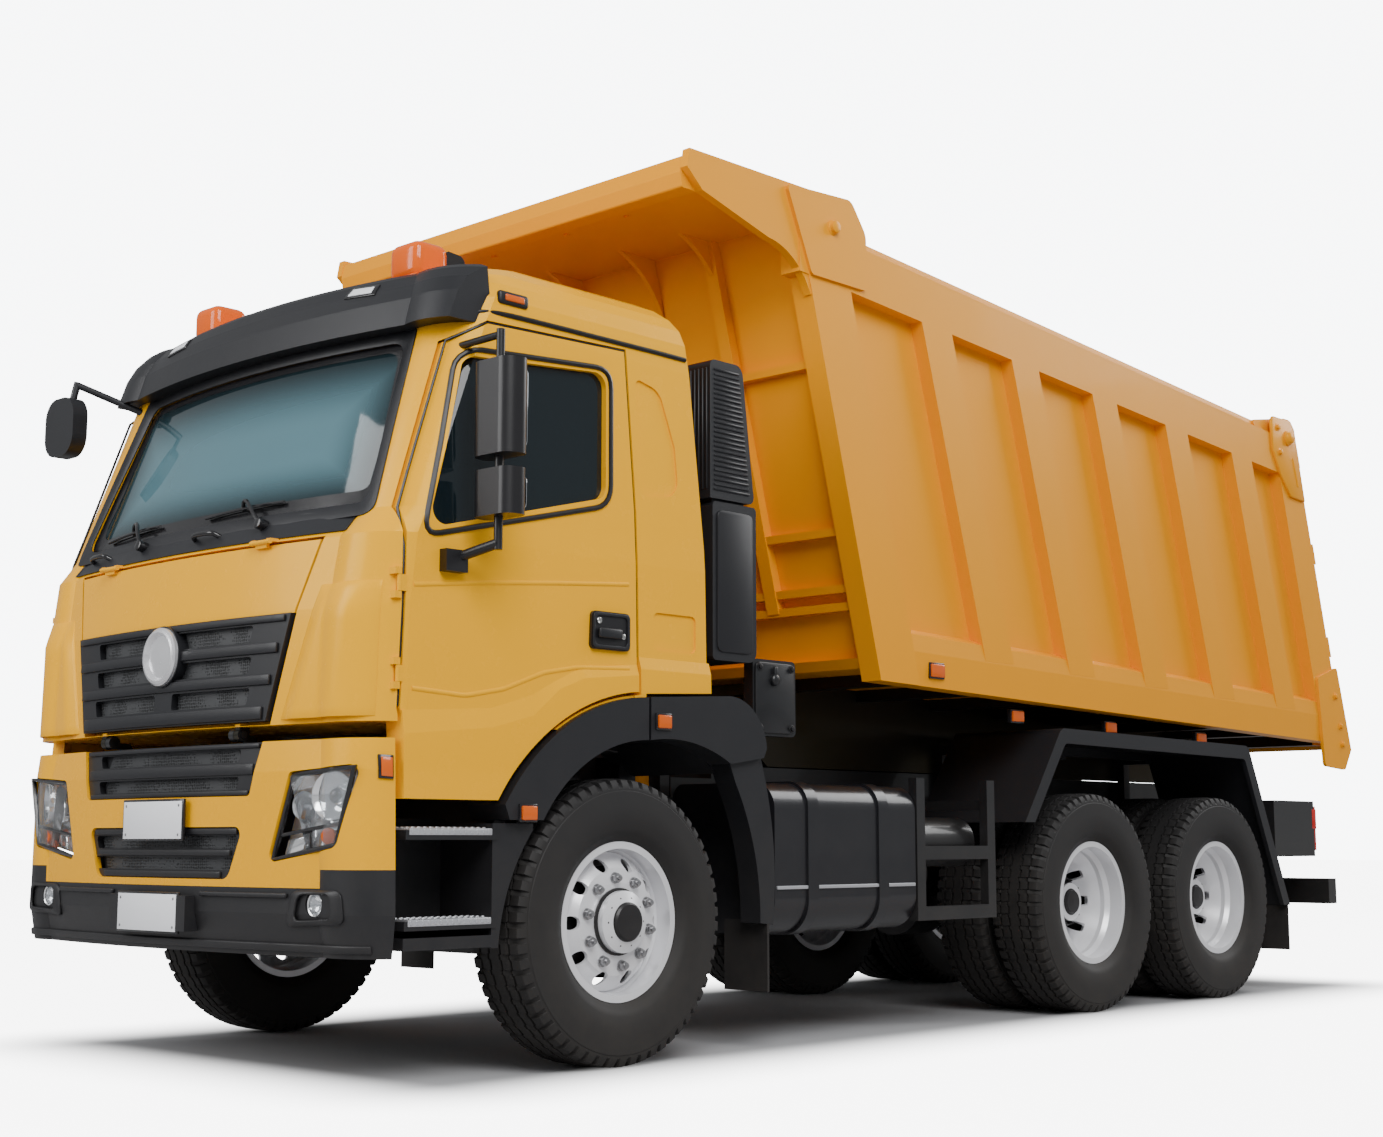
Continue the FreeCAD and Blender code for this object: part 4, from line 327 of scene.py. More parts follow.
def painted_gap_shade(tree, place):
    """Mask of the gap between the cab and the front panel, where the frame's black is painted on the cab as
    the gap's shade.
    """
    spot = axes(tree, place)
    low = math_node(tree, "GREATER_THAN", spot["Z"], GAP_LOW)
    high = math_node(tree, "LESS_THAN", spot["Z"], GAP_HIGH)
    ahead = math_node(tree, "GREATER_THAN", spot["X"], AXLE_X + GAP_BACK)
    return math_node(tree, "MULTIPLY", math_node(tree, "MULTIPLY", low, high), ahead)


def tub_underside(tree, place):
    """Mask of the tub's floor beams and underside, which are given the frame's dark colour."""
    spot = axes(tree, place)
    floor = math_node(tree, "ADD", math_node(tree, "MULTIPLY", spot["X"], TUB_SLOPE), TUB_FLOOR)
    below = math_node(tree, "LESS_THAN", spot["Z"], floor)
    across = math_node(tree, "ABSOLUTE", spot["Y"], 0.0)
    return math_node(tree, "MULTIPLY", below, math_node(tree, "LESS_THAN", across, BEAM_HALF))


# Masks of spots that take the frame's dark colour: painted shade in the gap below the cab, and the tub's
# underside
MASKS = {"cab_yellow": painted_gap_shade, "tub_yellow": tub_underside}


def finished(group, name, spec):
    """A painted, moulded or metal finish."""
    colour, metallic, roughness, coat, tone, dust, scale, height = spec
    tree, shader, place = new_material(name)
    node = grouped(tree, group, place, {"Colour": colour_of(colour), "Tone": tone, "Dust": dust,
                                        "Roughness": roughness, "Grain scale": scale})
    # On the cab, the mask paints the gap's shade in the frame's black
    if name in MASKS:
        mixed = mix_colour(tree, MASKS[name](tree, place), colour_of(colour), colour_of("frame_paint"))
        link(tree, mixed, node.inputs["Colour"])
    link(tree, node.outputs["Colour"], shader.inputs["Base Color"])
    link(tree, node.outputs["Roughness"], shader.inputs["Roughness"])
    link(tree, raised(tree, node.outputs["Height"], 0.6, height), shader.inputs["Normal"])
    fill(shader, {"Metallic": metallic, "Coat Weight": coat, "Coat Roughness": 0.06,
                  "Specular IOR Level": 0.4})
    if "yellow" in name:
        fill(shader, {"Specular IOR Level": 0.35, "Specular Tint": YELLOW_SHINE})
    if name == "seat_cloth":
        shader.inputs["Sheen Weight"].default_value = 0.4


def painted_screen_shade(tree, place):
    """Mask of the painted shade on the windscreen, towards its top, its foot and its sides."""
    spot = axes(tree, place)
    across = math_node(tree, "ABSOLUTE", spot["Y"], 0.0)
    total = ramp(tree, spot["Z"], *SHADE_TOP, True)
    for source, limits in ((spot["Z"], SHADE_FOOT), (across, SHADE_SIDE)):
        total = math_node(tree, "MAXIMUM", total, ramp(tree, source, *limits, True))
    return total


def glazed(group, name, spec):
    """Clear or coloured glass and lens plastic; the windscreen also gets painted shade towards its top, its
    foot and its sides.
    """
    colour, roughness, transmission = spec
    tree, shader, place = new_material(name)
    node = grouped(tree, group, place, {"Colour": colour_of(colour), "Tone": 0.08, "Dust": 0.0,
                                        "Roughness": roughness, "Grain scale": 60.0})
    glass_and_shade = node.outputs["Colour"]
    # The windscreen's colour is darkened by painted shade towards its top, its foot and its sides
    if name == "screen_glass":
        glass_and_shade = mix_colour(tree, painted_screen_shade(tree, place), glass_and_shade, SCREEN_SHADE_COLOUR)
    link(tree, glass_and_shade, shader.inputs["Base Color"])
    fill(shader, {"Roughness": roughness, "Transmission Weight": transmission, "IOR": 1.45})


def mesh_metal(group):
    """Black honeycomb mesh behind the grille bars."""
    tree, shader, place = new_material("grille_mesh")
    mask = grouped(tree, group, place, {"Scale": 85.0}).outputs["Mask"]
    colour = mix_colour(tree, mask, (0.002, 0.002, 0.002, 1), (0.045, 0.047, 0.05, 1))
    link(tree, colour, shader.inputs["Base Color"])
    link(tree, raised(tree, mask, 1.0, 0.003), shader.inputs["Normal"])
    shader.inputs["Roughness"].default_value = 0.45


def make_finishes():
    group = finish_group()
    for name, spec in FINISHES.items():
        finished(group, name, spec)
    for name, spec in GLASSES.items():
        glazed(group, name, spec)
    mesh_metal(honeycomb_group())


# Tools for shaping pieces


def clear_selection():
    if bpy.context.object is not None and bpy.context.object.mode != "OBJECT":
        bpy.ops.object.mode_set(mode="OBJECT")
    bpy.ops.object.select_all(action="DESELECT")


def pick(piece):
    clear_selection()
    piece.select_set(True)
    bpy.context.view_layer.objects.active = piece


def take_new(name):
    """The primitive just added, with its place put into its mesh."""
    piece = bpy.context.object
    piece.name = name
    bpy.ops.object.transform_apply(location=True, rotation=True, scale=True)
    return piece


def edit_all(piece, kind="FACE"):
    """Goes into edit mode with everything selected."""
    pick(piece)
    bpy.ops.object.mode_set(mode="EDIT")
    bpy.ops.mesh.select_mode(type=kind)
    bpy.ops.mesh.select_all(action="SELECT")


def leave_edit():
    bpy.ops.object.mode_set(mode="OBJECT")


def pick_faces(piece, wanted):
    """Goes into edit mode with the faces selected whose middle and normal pass the test."""
    edit_all(piece)
    bpy.ops.mesh.select_all(action="DESELECT")
    shape = bmesh.from_edit_mesh(piece.data)
    for face in shape.faces:
        face.select = wanted(face.calc_center_median(), face.normal)
    shape.select_flush(True)
    bmesh.update_edit_mesh(piece.data)


def recalc(piece, merge=0.00001):
    edit_all(piece)
    bpy.ops.mesh.remove_doubles(threshold=merge)
    bpy.ops.mesh.normals_make_consistent(inside=False)
    leave_edit()


def changed(piece, kind, **settings):
    """Adds a modifier with its settings and applies it."""
    change = piece.modifiers.new("change", kind)
    for name, value in settings.items():
        setattr(change, name, value)
    pick(piece)
    bpy.ops.object.modifier_apply(modifier=change.name)
    return piece


def soften(piece, width, segments=2, angle=30):
    """Rounds the piece's edges."""
    return changed(piece, "BEVEL", width=width, segments=segments, limit_method="ANGLE",
                   angle_limit=math.radians(angle), harden_normals=False)


def block(name, low, high, edge=0.004, segments=2):
    """A rounded block between two corners."""
    low = Vector(low)
    high = Vector(high)
    clear_selection()
    bpy.ops.mesh.primitive_cube_add(size=1.0, location=(low + high) / 2, scale=high - low)
    piece = take_new(name)
    return soften(piece, edge, segments) if edge else piece


def drum(name, start, end, radius, sides=24, edge=0.003, end_radius=None):
    """A round bar or cone from start to end."""
    start = Vector(start)
    end = Vector(end)
    along = end - start
    clear_selection()
    bpy.ops.mesh.primitive_cone_add(vertices=sides, radius1=radius,
                                    radius2=radius if end_radius is None else end_radius,
                                    depth=along.length, location=(start + end) / 2,
                                    rotation=along.to_track_quat("Z", "Y").to_euler())
    piece = take_new(name)
    return soften(piece, edge, 2, 50) if edge else piece


def loop_of(name, points, filling="NOTHING"):
    """A circle with as many points as given, moved onto them."""
    clear_selection()
    bpy.ops.mesh.primitive_circle_add(vertices=len(points), radius=1.0, fill_type=filling)
    piece = take_new(name)
    for vertex, point in zip(piece.data.vertices, points):
        vertex.co = Vector(point)
    return piece


def prism(name, outline, push, edge=0.004, segments=2):
    """A flat outline of points pushed along a vector, with rounded edges."""
    piece = loop_of(name, outline, "NGON")
    edit_all(piece)
    bpy.ops.mesh.extrude_region_move(TRANSFORM_OT_translate={"value": tuple(push)})
    leave_edit()
    recalc(piece)
    return soften(piece, edge, segments) if edge else piece


def spun(name, profile, centre, axis, steps=48):
    """A profile of (radius, height) points spun about an axis through centre."""
    axis = Vector(axis).normalized()
    across = axis.orthogonal().normalized()
    piece = loop_of(name, [Vector(centre) + across * radius + axis * height for radius, height in profile])
    edit_all(piece, "EDGE")
    bpy.ops.mesh.spin(steps=steps, angle=2 * math.pi, center=tuple(centre), axis=tuple(axis))
    leave_edit()
    recalc(piece)
    return piece


def tube(name, points, radius, closed=False, sides=3, smooth=True):
    """A round bead or pipe along points, as a mesh."""
    curve = bpy.data.curves.new(name, "CURVE")
    curve.dimensions = "3D"
    curve.bevel_depth = radius
    curve.bevel_resolution = sides
    curve.use_fill_caps = not closed
    line = curve.splines.new("NURBS" if smooth else "POLY")
    line.points.add(len(points) - 1)
    for spot, point in zip(line.points, points):
        spot.co = (point[0], point[1], point[2], 1.0)
    line.use_cyclic_u = closed
    if smooth:
        line.order_u = 3
        line.use_endpoint_u = not closed
        line.resolution_u = 4
    piece = bpy.data.objects.new(name, curve)
    bpy.context.scene.collection.objects.link(piece)
    pick(piece)
    bpy.ops.object.convert(target="MESH")
    piece = bpy.context.object
    piece.name = name
    return piece


def copy_of(piece, name):
    clear_selection()
    twin = piece.copy()
    twin.data = piece.data.copy()
    twin.name = name
    bpy.context.scene.collection.objects.link(twin)
    return twin


def flipped(piece, name):
    """A mirrored copy on the truck's other side."""
    twin = copy_of(piece, name)
    twin.data.transform(Matrix.Scale(-1, 4, (0, 1, 0)))
    twin.data.flip_normals()
    return twin


def shifted(piece, name, move):
    twin = copy_of(piece, name)
    twin.data.transform(Matrix.Translation(move))
    return twin


def joined(name, parts):
    clear_selection()
    for part in parts:
        part.select_set(True)
    bpy.context.view_layer.objects.active = parts[0]
    bpy.ops.object.join()
    piece = bpy.context.object
    piece.name = name
    return piece


def paint(piece, material):
    piece.data.materials.clear()
    piece.data.materials.append(MATERIALS[material])
    return piece


# The material slot of each look, where a piece names no other
SLOTS = {
    "cab_yellow": "yellow_paint", "bed_yellow": "yellow_paint", "black_trim": "black_plastic",
    "gloss_black": "black_plastic", "flap_rubber": "black_plastic", "grille_mesh": "black_plastic",
    "seal_rubber": "rubber", "hub_black": "dark_frame", "frame_black": "dark_frame",
    "rod_steel": "rod_steel", "nut_steel": "rod_steel", "step_metal": "rod_steel",
    "plate_white": "rim_paint", "badge_grey": "rim_paint", "lamp_glass": "lamp_lens",
    "lamp_chrome": "lamp_lens", "amber_glass": "amber_lens", "beacon_glass": "amber_lens",
    "red_glass": "red_lens", "mirror_glass": "grey_steel", "tyre_rubber": "tyre",
}


# Edges under this angle are smoothed, in degrees
SMOOTH = 32


def seat(piece, body, look, angle=SMOOTH, slot=None):
    """Smooths, paints and hangs a finished piece on its body."""
    pick(piece)
    bpy.ops.object.shade_smooth_by_angle(angle=math.radians(angle))
    paint(piece, look)
    slot or SLOTS[look]
    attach(piece, body)
    return piece


# Where rays towards the truck's middle start, outside it
OUTSIDE = 3.0


def hit(node, start, way):
    """Where a ray from start meets a CAD node."""
    found, place, normal, index = NODES[node].ray_cast(Vector(start), Vector(way))
    if not found:
        raise RuntimeError("nothing of " + node + " lies that way")
    return place


def side_on(node, x, z):
    """The point of a node's left side at a station and height."""
    return hit(node, at(x, OUTSIDE, z), (0, -1, 0))


def front_on(node, y, z):
    """The point of a node's front at a width and height."""
    return hit(node, at(OUTSIDE, y, z), (-1, 0, 0))


def on_front(node, lift):
    """Carries a width and height onto a node's front, lifted off it."""
    return lambda y, z: front_on(node, y, z) + Vector((lift, 0, 0))


# How a point past a node's edge is drawn in: at most so many times, by this share of its width
EDGE_TRIES = 40
EDGE_STEP = 0.004


def on_front_edge(node, lift, least):
    """As on_front, with points past the node's edge drawn in to it; least is its rearmost station."""
    def place(y, z):
        for step in range(EDGE_TRIES):
            start = at(OUTSIDE, y * (1 - EDGE_STEP * step), z)
            found, spot, normal, index = NODES[node].ray_cast(start, Vector((-1, 0, 0)))
            if found and spot.x > at(least, 0, 0).x:
                return spot + Vector((lift, 0, 0))
        raise RuntimeError("the front of " + node + " doesn't reach there")
    return place


def on_side(node, lift):
    """Carries a station and height onto a node's left side, lifted off it."""
    return lambda x, z: side_on(node, x, z) + Vector((0, lift, 0))


def between(node, low, high, lift, clear=0.0):
    """As on_front, but read off the node's bars at two heights and half widths: its slots are open."""
    def read(y, level):
        z, reach = level
        return front_on(node, math.copysign(min(max(abs(y), clear), reach), y), z).x

    def place(y, z):
        share = (z - low[0]) / (high[0] - low[0])
        x = read(y, low) + (read(y, high) - read(y, low)) * share
        return Vector((x + lift, y, z))
    return place


def thicken(piece, thickness, edge=0.0):
    """Gives an open sheet its thickness, with rounded edges."""
    changed(piece, "SOLIDIFY", thickness=thickness, offset=0.0)
    recalc(piece)
    return soften(piece, edge, 2, 50) if edge else piece


def draped(name, corners, columns, rows, place, thickness, edge=0.0):
    """A sheet between four corners, carried point by point onto a surface."""
    clear_selection()
    bpy.ops.mesh.primitive_grid_add(x_subdivisions=columns, y_subdivisions=rows, size=2.0)
    piece = take_new(name)
    first, second, third, fourth = [Vector(corner) for corner in corners]
    for vertex in piece.data.vertices:
        across = (vertex.co.x + 1) / 2
        spot = first.lerp(second, across).lerp(fourth.lerp(third, across), (vertex.co.y + 1) / 2)
        vertex.co = place(spot.x, spot.y)
    return thicken(piece, thickness, edge)


def rounded(corners, radius, steps=5, runs=1):
    """Points round an outline with rounded corners, each side cut into runs."""
    points = []
    count = len(corners)
    for number in range(count):
        before = Vector(corners[number - 1])
        corner = Vector(corners[number])
        after = Vector(corners[(number + 1) % count])
        first = corner + (before - corner).normalized() * radius
        last = corner + (after - corner).normalized() * radius
        for step in range(steps + 1):
            share = step / steps
            points.append(first.lerp(corner, share).lerp(corner.lerp(last, share), share))
        goal = after + (corner - after).normalized() * radius
        for step in range(1, runs + 1):
            points.append(last.lerp(goal, step / (runs + 1)))
    return points


def band(name, outer, inner, thickness, edge=0.0):
    """A flat ring between two closed rows of points, bridged and thickened."""
    piece = joined(name, [loop_of(name, outer), loop_of(name, inner)])
    edit_all(piece, "EDGE")
    bpy.ops.mesh.bridge_edge_loops()
    leave_edit()
    return thicken(piece, thickness, edge)


def bolt(name, place, way, size):
    """A bolt head on its washer, facing along the way given."""
    place = Vector(place)
    way = Vector(way).normalized()
    washer = drum(name, place - way * 0.002, place + way * 0.004, size * 0.85, 20, 0.001)
    head = drum(name, place + way * 0.003, place + way * (0.003 + size * 0.5), size * 0.577, 6, 0.0015)
    return joined(name, [washer, head])


def both_sides(piece, body, look, angle=SMOOTH, slot=None):
    """Hangs a left piece on its body and its mirrored copy on the body of the other side."""
    name = piece.name
    other = flipped(piece, name + "_right")
    piece.name = name + "_left"
    seat(piece, body, look, angle, slot)
    seat(other, body.replace("left", "right"), look, angle, slot)


def skin_of(name, node, wanted, thickness, offset=1.0):
    """A thin cover over the chosen faces of a CAD node."""
    piece = copy_of(NODES[node], name)
    piece.parent = None
    for key in list(piece.keys()):
        del piece[key]
    recalc(piece, 0.0001)
    pick_faces(piece, lambda middle, normal: not wanted(middle, normal))
    bpy.ops.mesh.delete(type="FACE")
    leave_edit()
    return changed(piece, "SOLIDIFY", thickness=thickness, offset=offset)


# Carried-over solids

NODE_FINISH = {
    "chassis_frame": "frame_black", "subframe": "frame_black", "front_axle": "frame_black",
    "rear_axles": "hub_black", "rear_suspension": "frame_black", "driveline": "engine_iron",
    "fuel_tank": "tank_black", "side_equipment": "frame_black", "side_guards": "frame_black",
    "cab_steps": "black_trim", "lower_panel": "cab_yellow", "front_bumper": "black_trim",
    "lower_grille": "black_trim", "front_lamps": "lamp_glass", "rear_flares": "black_trim",
    "air_intake": "black_trim", "rear_mudguards": "black_trim", "mud_flaps": "flap_rubber",
    "rear_bumper": "frame_black", "tail_lamps": "red_glass", "cab_shell": "cab_yellow",
    "cab_glass": "screen_glass", "cowl": "black_trim", "sun_visor": "black_trim",
    "beacons": "beacon_glass", "cab_seats": "seat_cloth", "dashboard": "black_trim",
    "roof_fittings": "black_trim", "front_flares": "black_trim", "cab_flap": "cab_yellow",
    "upper_grille": "black_trim",
    "door_left": "cab_yellow", "door_glass_left": "side_glass", "door_fittings_left": "mirror_black",
    "door_right": "cab_yellow", "door_glass_right": "side_glass",
    "door_fittings_right": "mirror_black", "knuckle_left": "hub_black", "knuckle_right": "hub_black",
    "hoist_barrel": "hoist_yellow", "hoist_stage_1": "rod_steel", "hoist_stage_2": "rod_steel",
    "hoist_stage_3": "rod_steel", "bed_tub": "tub_yellow", "headboard": "bed_yellow",
    "tailgate": "bed_yellow",
}


class TRUCK_OT_finishes(bpy.types.Operator):
    """Makes the finishes and gives each carried-over solid its own"""
    bl_idname = "truck.finishes"
    bl_label = "Finishes"

    def execute(self, context):
        make_finishes()
        for name, node in NODES.items():
            look = NODE_FINISH.get(name)
            if look is None:
                look = "tyre_rubber" if "tyre" in name else "wheel_silver"
            paint(node, look)
            pick(node)
            bpy.ops.object.shade_smooth_by_angle(angle=math.radians(30))
        return {"FINISHED"}


# Wheels

# Half of the tyre's section: (radius, distance from the middle plane, kind)
TYRE_HALF = [
    (0.5475, 0.000, "rib"), (0.5475, 0.022, "rib"), (0.5475, 0.024, "wall"), (0.5345, 0.026, "floor"),
    (0.5345, 0.034, "floor"), (0.5470, 0.036, "wall"), (0.5470, 0.072, "rib"), (0.5465, 0.074, "wall"),
    (0.5345, 0.076, "floor"), (0.5345, 0.084, "floor"), (0.5455, 0.086, "wall"), (0.5445, 0.112, "block"),
    (0.5400, 0.127, "block"), (0.5240, 0.137, "block"), (0.5080, 0.1415, "side"), (0.5000, 0.1420, "side"),
    (0.4970, 0.1450, "side"), (0.4400, 0.1495, "side"), (0.4000, 0.1495, "side"), (0.3560, 0.1420, "side"),
    (0.3350, 0.1330, "side"), (0.3320, 0.1290, "side"), (0.3120, 0.1180, "side"),
]


# How far round a pitch its four rings lie: the block, its edge, the groove and its far edge
RING_SHARES = (0.0, 0.60, 0.66, 0.94)
# Above this radius a block's groove has its whole depth, below it the shoulder's share of it
SHOULDER_R = 0.53
SHOULDER_SHARE = 0.55
# How far the ribs' edges zigzag, and the share of the depth that their cuts have
ZIGZAG = 0.0035
RIB_CUT = 0.6


def tread_tyre(name):
    """A tyre at the origin with its axle along Y: shoulder blocks, zigzag grooves and side rings."""
    pitches = sizes().tread_pitches
    depth = sizes().tread_depth
    line = [(r, -t, kind) for r, t, kind in reversed(TYRE_HALF[1:])] + TYRE_HALF
    inside = [(0.3060, 0.110, "side"), (0.3060, -0.110, "side")]
    rings = len(RING_SHARES)
    line = line + inside
    piece = spun(name, [(p[0], p[1]) for p in line], (0, 0, 0), (0, 1, 0), pitches * rings)
    turn = 2 * math.pi / pitches
    kinds = {(round(p[0], 4), round(p[1], 4)): p[2] for p in line}
    start = math.atan2(*[piece.data.vertices[0].co[i] for i in (2, 0)])
    for vertex in piece.data.vertices:
        radius = math.hypot(vertex.co.x, vertex.co.z)
        kind = kinds.get((round(radius, 4), round(vertex.co.y, 4)), "side")
        count = round((math.atan2(vertex.co.z, vertex.co.x) - start) / turn * rings)
        whole, part = divmod(count, rings)
        angle = start + (whole + RING_SHARES[part]) * turn
        across = vertex.co.y
        if kind == "block" and part >= 2:
            radius -= depth * (1.0 if radius > SHOULDER_R else SHOULDER_SHARE)
            across *= 0.985 if radius > SHOULDER_R else 0.965
        elif kind in ("wall", "floor", "rib") and abs(across) > 0.01:
            across += ZIGZAG if part < 2 else -ZIGZAG
        if kind == "rib" and part == 3 and 0.03 < abs(across):
            radius -= depth * RIB_CUT
        vertex.co = (radius * math.cos(angle), across, radius * math.sin(angle))
    recalc(piece)
    return piece


def nut(name, place, way, size):
    """A wheel nut with its washer and the stud's end, along the way given."""
    place = Vector(place)
    way = Vector(way).normalized()
    washer = drum(name, place, place + way * 0.004, size * 0.68, 16, 0.001)
    body = drum(name, place + way * 0.004, place + way * 0.024, size * 0.577, 6, 0.0018)
    stud = drum(name, place + way * 0.022, place + way * 0.036, size * 0.30, 10, 0.002)
    return joined(name, [washer, body, stud])


# The circle of the wheel nuts, and how many there are
NUT_CIRCLE = 0.1675
NUTS = 10


def ring_of_nuts(name, centre, way, circle, count, size, start=0.0):
    parts = []
    first = nut(name, (0, 0, 0), way, size)
    for number in range(count):
        angle = start + 2 * math.pi * number / count
        spot = Vector(centre) + Vector((circle * math.cos(angle), 0, circle * math.sin(angle)))
        parts.append(shifted(first, name, spot))
    bpy.data.objects.remove(first)
    return joined(name, parts)


class TRUCK_OT_tyres(bpy.types.Operator):
    """Adds the ten treaded tyres"""
    bl_idname = "truck.tyres"
    bl_label = "Tyres"

    def execute(self, context):
        pattern = tread_tyre("tyre_pattern")
        for side, sign in SIDES.items():
            spots = {("front_wheel_" + side, "front_tyre_" + side): [(0.0, TYRE_MIDDLE)]}
            for number in (1, 2):
                x = AXLES["rear_%d" % number]
                spots[("rear_wheels_%d_%s" % (number, side), "rear_tyres_%d_%s" % (number, side))] = [
                    (x, TYRE_MIDDLE), (x, TYRE_MIDDLE - TWIN_PITCH)]
            for (body, node), places in spots.items():
                tyres = [shifted(pattern, node + "_tread", at(x, sign * y, WHEEL_R)) for x, y in places]
                tyre = joined("tread_" + node, tyres)
                seat(tyre, body, "tyre_rubber", 40)
                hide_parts(node)
        bpy.data.objects.remove(pattern)
        return {"FINISHED"}


class TRUCK_OT_wheel_nuts(bpy.types.Operator):
    """Adds the nuts and hubs of all the wheels"""
    bl_idname = "truck.wheel_nuts"
    bl_label = "Wheel nuts and hubs"

    def execute(self, context):
        size = sizes().nut_size
        for side, sign in SIDES.items():
            way = (0, sign, 0)
            face = sign * (TYRE_MIDDLE + 0.102)
            ring = ring_of_nuts("front_nuts_" + side, at(0, face, WHEEL_R), way, NUT_CIRCLE, NUTS, size, 0.2)
            seat(ring, "front_wheel_" + side, "nut_steel", slot="rim_paint")
            profile = [(0.1285, 0.0), (0.1285, 0.008), (0.118, 0.012), (0.108, 0.012), (0.104, 0.034),
                       (0.078, 0.040), (0.074, 0.060), (0.066, 0.067), (0.030, 0.069), (0.0005, 0.069),
                       (0.0005, 0.0)]
            hub = spun("front_hub_" + side, profile, at(0, face - sign * 0.0005, WHEEL_R), way, 48)
            bolts = ring_of_nuts("hub_bolts", at(0, face + sign * 0.010, WHEEL_R), way, 0.092, NUTS, 0.016)
            hub = joined("front_hub_" + side, [hub, bolts])
            seat(hub, "front_wheel_" + side, "hub_black")
            for number in (1, 2):
                x = AXLES["rear_%d" % number]
                inner = sign * (TYRE_MIDDLE - TWIN_PITCH / 2)
                nuts = ring_of_nuts("rear_nuts", at(x, inner + sign * 0.014, WHEEL_R), way, NUT_CIRCLE,
                                    NUTS, size)
                profile = [(0.128, 0.0), (0.128, 0.010), (0.100, 0.016), (0.097, 0.020), (0.097, 0.045),
                           (0.090, 0.052), (0.060, 0.056), (0.056, 0.070), (0.0005, 0.072), (0.0005, 0.0)]
                cap = spun("rear_cap", profile, at(x, inner + sign * 0.095, WHEEL_R), way, 40)
                bolts = ring_of_nuts("cap_bolts", at(x, inner + sign * 0.103, WHEEL_R), way, 0.112,
                                     NUTS, 0.017)
                hub = joined("rear_hub_%d_%s" % (number, side), [cap, bolts, nuts])
                seat(hub, "rear_wheels_%d_%s" % (number, side), "hub_black")
        return {"FINISHED"}


# Front end

# The corners of the headlamp's opening, and the way that its bowls face
LAMP = [(0.665, 0.775), (1.030, 0.832), (1.120, 1.120), (0.772, 1.098)]
LAMP_WAY = Vector((0.93, 0.37, 0))
# Each bowl's place in the opening, its radius and its bulb's
BOWLS = ((0.66, 0.66, 0.088, 0.030), (0.26, 0.60, 0.055, 0.034))
# The spans of the pockets below the bowls
POCKETS = ((0.08, 0.36), (0.40, 0.66), (0.70, 0.92))


def lamp_point(u, v):
    """A point of the headlamp's opening: u from its inner to its outer edge, v from its foot up."""
    low = Vector(LAMP[0]).lerp(Vector(LAMP[1]), u)
    high = Vector(LAMP[3]).lerp(Vector(LAMP[2]), u)
    return low.lerp(high, v)


def headlamp():
    """Left headlamp: bright housing with bowls and pockets, bulbs, dark rim, indicator and clear lens."""
    pieces = {}
    pieces["lens"] = skin_of("headlamp_lens", "front_lamps", lambda middle, normal:
                             middle.y > 0 and middle.z > 0.72 and normal.x > 0.25, 0.003, -1.0)

    near = {}
    for u in (0.2, 0.8):
        for v in (0.2, 0.8):
            spot = lamp_point(u, v)
            near[u, v] = front_on("front_lamps", spot[0], spot[1]).x

    def inside(u, v, back):
        spot = lamp_point(u, v)
        share = (u - 0.2) / 0.6
        low = near[0.2, 0.2] + (near[0.8, 0.2] - near[0.2, 0.2]) * share
        high = near[0.2, 0.8] + (near[0.8, 0.8] - near[0.2, 0.8]) * share
        return Vector((low + (high - low) * (v - 0.2) / 0.6 - back, spot[0], spot[1]))

    rows = []
    for v in (0.03, 0.97):
        rows.append([inside(u, v, 0.055) for u in (0.03, 0.35, 0.65, 0.97)])
    parts = [prism("lamp_back", [rows[0][0], rows[0][3], rows[1][3], rows[1][0]], (-0.004, 0, 0), 0.001)]
    for u, v, radius, bulb in BOWLS:
        profile = [(radius, 0.044), (radius * 0.96, 0.046), (radius * 0.80, 0.028), (radius * 0.5, 0.010),
                   (radius * 0.34, 0.006), (radius * 0.34, 0.0), (radius * 0.9, 0.0)]
        parts.append(spun("bowl", profile, inside(u, v, 0.056), LAMP_WAY, 40))
    for near_u, far_u in POCKETS:
        corners = [(near_u, 0.07), (far_u, 0.07), (far_u, 0.25), (near_u, 0.25)]
        parts.append(prism("pocket", [inside(u, v, 0.045) for u, v in corners], (0.012, 0.004, 0), 0.005))
    pieces["chrome"] = joined("headlamp_reflectors", parts)
    bulbs = []
    for u, v, bowl, radius in BOWLS:
        profile = [(radius, 0.0), (radius, 0.010), (radius * 0.92, 0.018), (radius * 0.7, 0.026),
                   (radius * 0.35, 0.031), (0.0005, 0.032), (0.0005, 0.0)]
        bulbs.append(spun("bulb", profile, inside(u, v, 0.052), LAMP_WAY, 28))
    pieces["bulbs"] = joined("headlamp_bulbs", bulbs)
    outline = []
    steps = [(0.0, 0.0), (0.5, 0.0), (1.0, 0.0), (1.0, 0.5), (1.0, 1.0), (0.5, 1.0), (0.0, 1.0), (0.0, 0.5)]
    for u, v in steps:
        outline.append(inside(0.035 + 0.93 * u, 0.035 + 0.93 * v, 0.006))
    rim = tube("headlamp_rim", outline, 0.011, True, 2, False)
    bar = tube("headlamp_bar", [inside(u, 0.30, 0.010) for u in (0.05, 0.35, 0.65, 0.95)], 0.007, False, 2)
    pieces["rim"] = joined("headlamp_rim", [rim, bar])
    spot = inside(0.78, 0.10, 0.028) + Vector((0, 0, 0.022))
    pieces["amber"] = drum("headlamp_indicator", spot, spot + Vector((0.016, 0.006, 0)), 0.030, 20, 0.006)
    return pieces


# The fog lamp's width and height, and the look of each piece of the lamps
FOG_LAMP = (0.912, 0.634)
LAMP_LOOKS = {"lens": "lamp_glass", "chrome": "lamp_chrome", "bulbs": "lamp_glass", "rim": "gloss_black",
              "amber": "amber_glass", "fog": "lamp_chrome", "fog_lens": "lamp_glass"}


